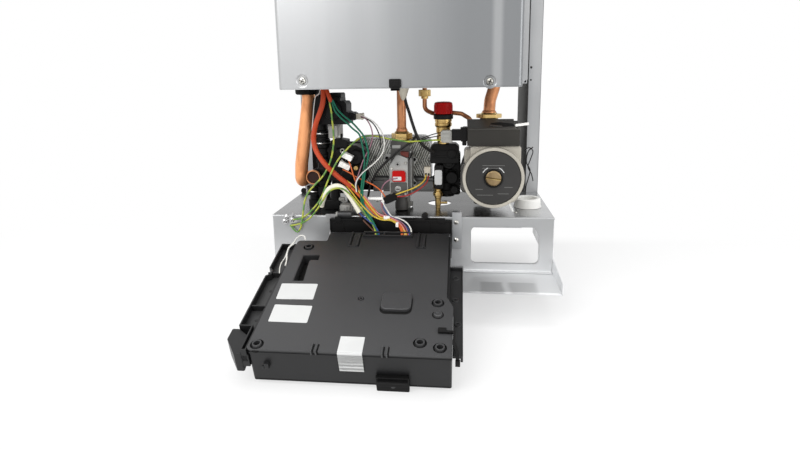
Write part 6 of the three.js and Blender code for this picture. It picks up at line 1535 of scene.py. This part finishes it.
flange = Piece("box_flange_moulding", "black_plastic", "control_box", finish="box_wall",
               replaces=["box_side_flange"])
edge = rounded([(56, 66.5), (74.4, 66.5), (74, 213), (63.5, 213), (63.5, 150), (56, 132)],
               [0.5, 2, 2, 0.5, 2, 2], 3)
flange.prism(edge, "z", -14, -11, soft=0.5)
flange.block((55.5, 58.6), (0, 133), (-30, -4), soft=0.4)
flange.block((56, 74.3), (66.4, 68.4), (-14, -6.5), soft=0.5)
flange.block((71.6, 74.2), (68, 212), (-20, -11), soft=0.6)
for u in (96, 118, 188):
    flange.block((57, 73), (u, u + 1.8), (-18, -11.5), soft=0.4)
for x, u in ((65.6, 84), (65.4, 125), (68.6, 166)):
    flange.turned([(1.8, -12), (1.8, -10.2), (3.6, -10), (4.2, -10.8), (4.2, -12)], "z", (x, u, 0),
                  28, closed=True)
flange.done()

foot = Piece("box_front_bracket_moulding", "black_plastic", "control_box",
             replaces=["box_front_bracket"])
foot.block((-14.5, 19.8), (224.8, 230), (-40, -27.7), soft=0.6)
foot.prism(rounded(rect(-14.5, 19.8, -47.7, -35), 1.4, 3), "y", 224.8, 229, soft=0.6)
foot.block((-13, 18.4), (225, 233), (-33, -30.6), soft=0.6)
foot.rod(2.4, "y", (3, 0, -40), 228.4, 229.8, 24, soft=0.3, finish="charcoal_plastic")
foot.done()

latch = Piece("box_latch_moulding", "black_plastic", "control_box", replaces=["box_latch"])
hook = rounded([(48, 186), (57, 186), (57, 190), (66.6, 190), (66.6, 207), (70.4, 222), (70.4, 234),
                (66.8, 234), (66.8, 222), (63.8, 210), (63.8, 193), (48, 193)], 1, 3)
latch.prism(hook, "z", 0.2, 2.6, soft=0.6)
latch.block((49.4, 56), (187, 192), (2, 3), soft=0.4)
latch.block((66.4, 71.2), (230, 234.2), (-4, 2.6), soft=0.6)
latch.done()

# Blank labels on the lid, the last one bent over the lid's front edge
LABELS = {"upper": [(-142.5, 116.6), (-98.3, 115.7), (-97.3, 144.4), (-141, 145.5)],
          "lower": [(-139.1, 155.1), (-95.1, 155.7), (-94.3, 183.8), (-138.1, 183.5)]}
for name, corners in LABELS.items():
    label = Piece(f"blank_label_{name}", "white_plastic", "control_box", finish="white_label")
    label.prism(rounded(corners, 1.4, 3), "z", -0.05, 0.22)
    label.done()
LABEL_WIDE, LABEL_LONG, LABEL_FLAT, LABEL_START = 25.6, 48, 22.6, 202.2
fold = Piece("blank_label_folded", "white_plastic", "control_box", finish="white_label")
bm = bmesh.new()
bmesh.ops.create_grid(bm, x_segments=8, y_segments=26, size=0.5)
for vert in bm.verts:
    x = -40.2 + vert.co.x * LABEL_WIDE
    run = (vert.co.y + 0.5) * LABEL_LONG
    if run < LABEL_FLAT:
        u, w = LABEL_START + run, 0.25
    else:
        turn = min((run - LABEL_FLAT) / 1.2, math.pi / 2)
        u = LABEL_START + LABEL_FLAT + 1.1 * math.sin(turn)
        w = 0.25 - 1.1 * (1 - math.cos(turn)) - max(0.0, run - LABEL_FLAT - 1.9)
    vert.co = (x + 0.02 * run, u + (0.25 if run > LABEL_FLAT + 3 else 0), w)
bmesh.ops.solidify(bm, geom=bm.faces[:], thickness=0.15)
fold.add(bm)
fold.done()

for side, x in (("left", -90), ("right", -20)):
    turn_knob = Piece(f"dial_{side}", "grey_plastic", f"control_knob_{side[0]}",
                      replaces=[f"control_knob_{side}"])
    turn_knob.turned([(0, -44.4), (11.4, -44.4), (13, -46), (13, -53.6), (12, -55), (0, -55)], "z",
                     (x, 120, 0), 48)
    turn_knob.rod(4, "z", (x, 120, 0), -46, -32, 24)
    turn_knob.block((x - 2, x + 2), (108, 132), (-58, -54), soft=1)
    turn_knob.block((x - 0.5, x + 0.5), (122, 131.4), (-58.15, -57.8), finish="white_plastic")
    turn_knob.done()

# Cable ends: connectors, ties, ring terminals and guides
ends = Piece("cable_connectors", "white_plastic")
ends.block((-60, -38), (6, 11), (102, 105.4), soft=0.6)
ends.prism(rounded(rect(-37.4, -18.6, 98.6, 109), 2.4, 3), "y", 5, 17, soft=1,
           finish="black_plastic", lean=about("y", -24, (-28, 12, 103.8)))
ends.block((-40.6, -35.6), (6, 14), (98, 101.6), soft=0.6, lean=about("y", -24, (-38, 10, 99.6)))
ends.turned([(0, 262), (8.4, 262), (8, 258), (3.4, 243), (2.2, 241), (0, 241)], "z", (-8.4, 20, 0),
            28, finish="beige_plastic")
ends.block((-36, -27), (-9.4, -5), (77.6, 82), soft=0.8)
ends.block((144, 162.3), (8.6, 11), (205.6, 209.2), soft=0.7, lean=about("y", -7, (153, 10, 207.4)))
ends.block((-17.4, -13.8), (-22, -16), (70, 76), soft=0.6)
ends.turned([(3, 257.6), (7.4, 257.6), (8.2, 259), (8.2, 262.4), (3, 262.4)], "z", (-121.6, 22, 0),
            28, closed=True, finish="black_rubber")
ends.rod(7.2, "z", (-113.5, 35, 0), 94, 113, 28, soft=1, finish="black_plastic")
ends.block((-130.5, -105.5), (28, 46), (80.6, 96.5), soft=2.5, finish="black_plastic")
ends.tube(((-106.4, 30, 97.6), (-99, 30, 93.6), (-87.5, 28, 81.6)), 2.7, 14, finish="grey_plastic")
ends.block((-107, -98.6), (26, 31), (95.6, 100.4), soft=1, finish="grey_plastic")
ends.rod(5.4, "x", (0, 2, 81), -103.4, -83, 28, soft=0.8, finish="charcoal_plastic")
ends.rod(4.2, "x", (0, 2, 81), -106, -102, 28, soft=0.6, finish="grey_plastic")
ends.tube(((-194, 151, 83.4), (-165, 134, 83.4)), 1.4, 12, finish="beige_plastic")
ends.turned([(0, -2), (4.6, -2), (5, 0), (0, 1.4)], "y", (-196, 150, 84), 24,
            finish="black_plastic")
ends.done()
terminals = Piece("earth_terminals", "screw_steel", finish="stainless")
for x, z in ((-178, 77.2), (-170, 73), (-181, 71)):
    terminals.turned([(0, -4.6), (2, -4.5), (3.6, -3.4), (3.8, -2.2), (0, -2.2)], "y", (x, 0, z),
                     20)
    terminals.turned([(1.8, -2.2), (4.6, -2.2), (4.6, -1.3), (1.8, -1.3)], "y", (x, 0, z), 20,
                     closed=True)
    # painted shade: a dark strip for each screw's slot
    terminals.block((x - 0.4, x + 0.4), (-4.9, -4.3), (z - 2.4, z + 2.4), finish="black_rubber",
                    lean=about("y", 30, (x, 0, z)))
for x, z, lean in ((-172, 76, 60), (-166, 71, 30)):
    terminals.block((x - 1.2, x + 9), (-3.4, -2.2), (z - 1.6, z + 1.6), soft=0.4,
                    lean=about("y", -lean, (x, -3, z)))
terminals.done()
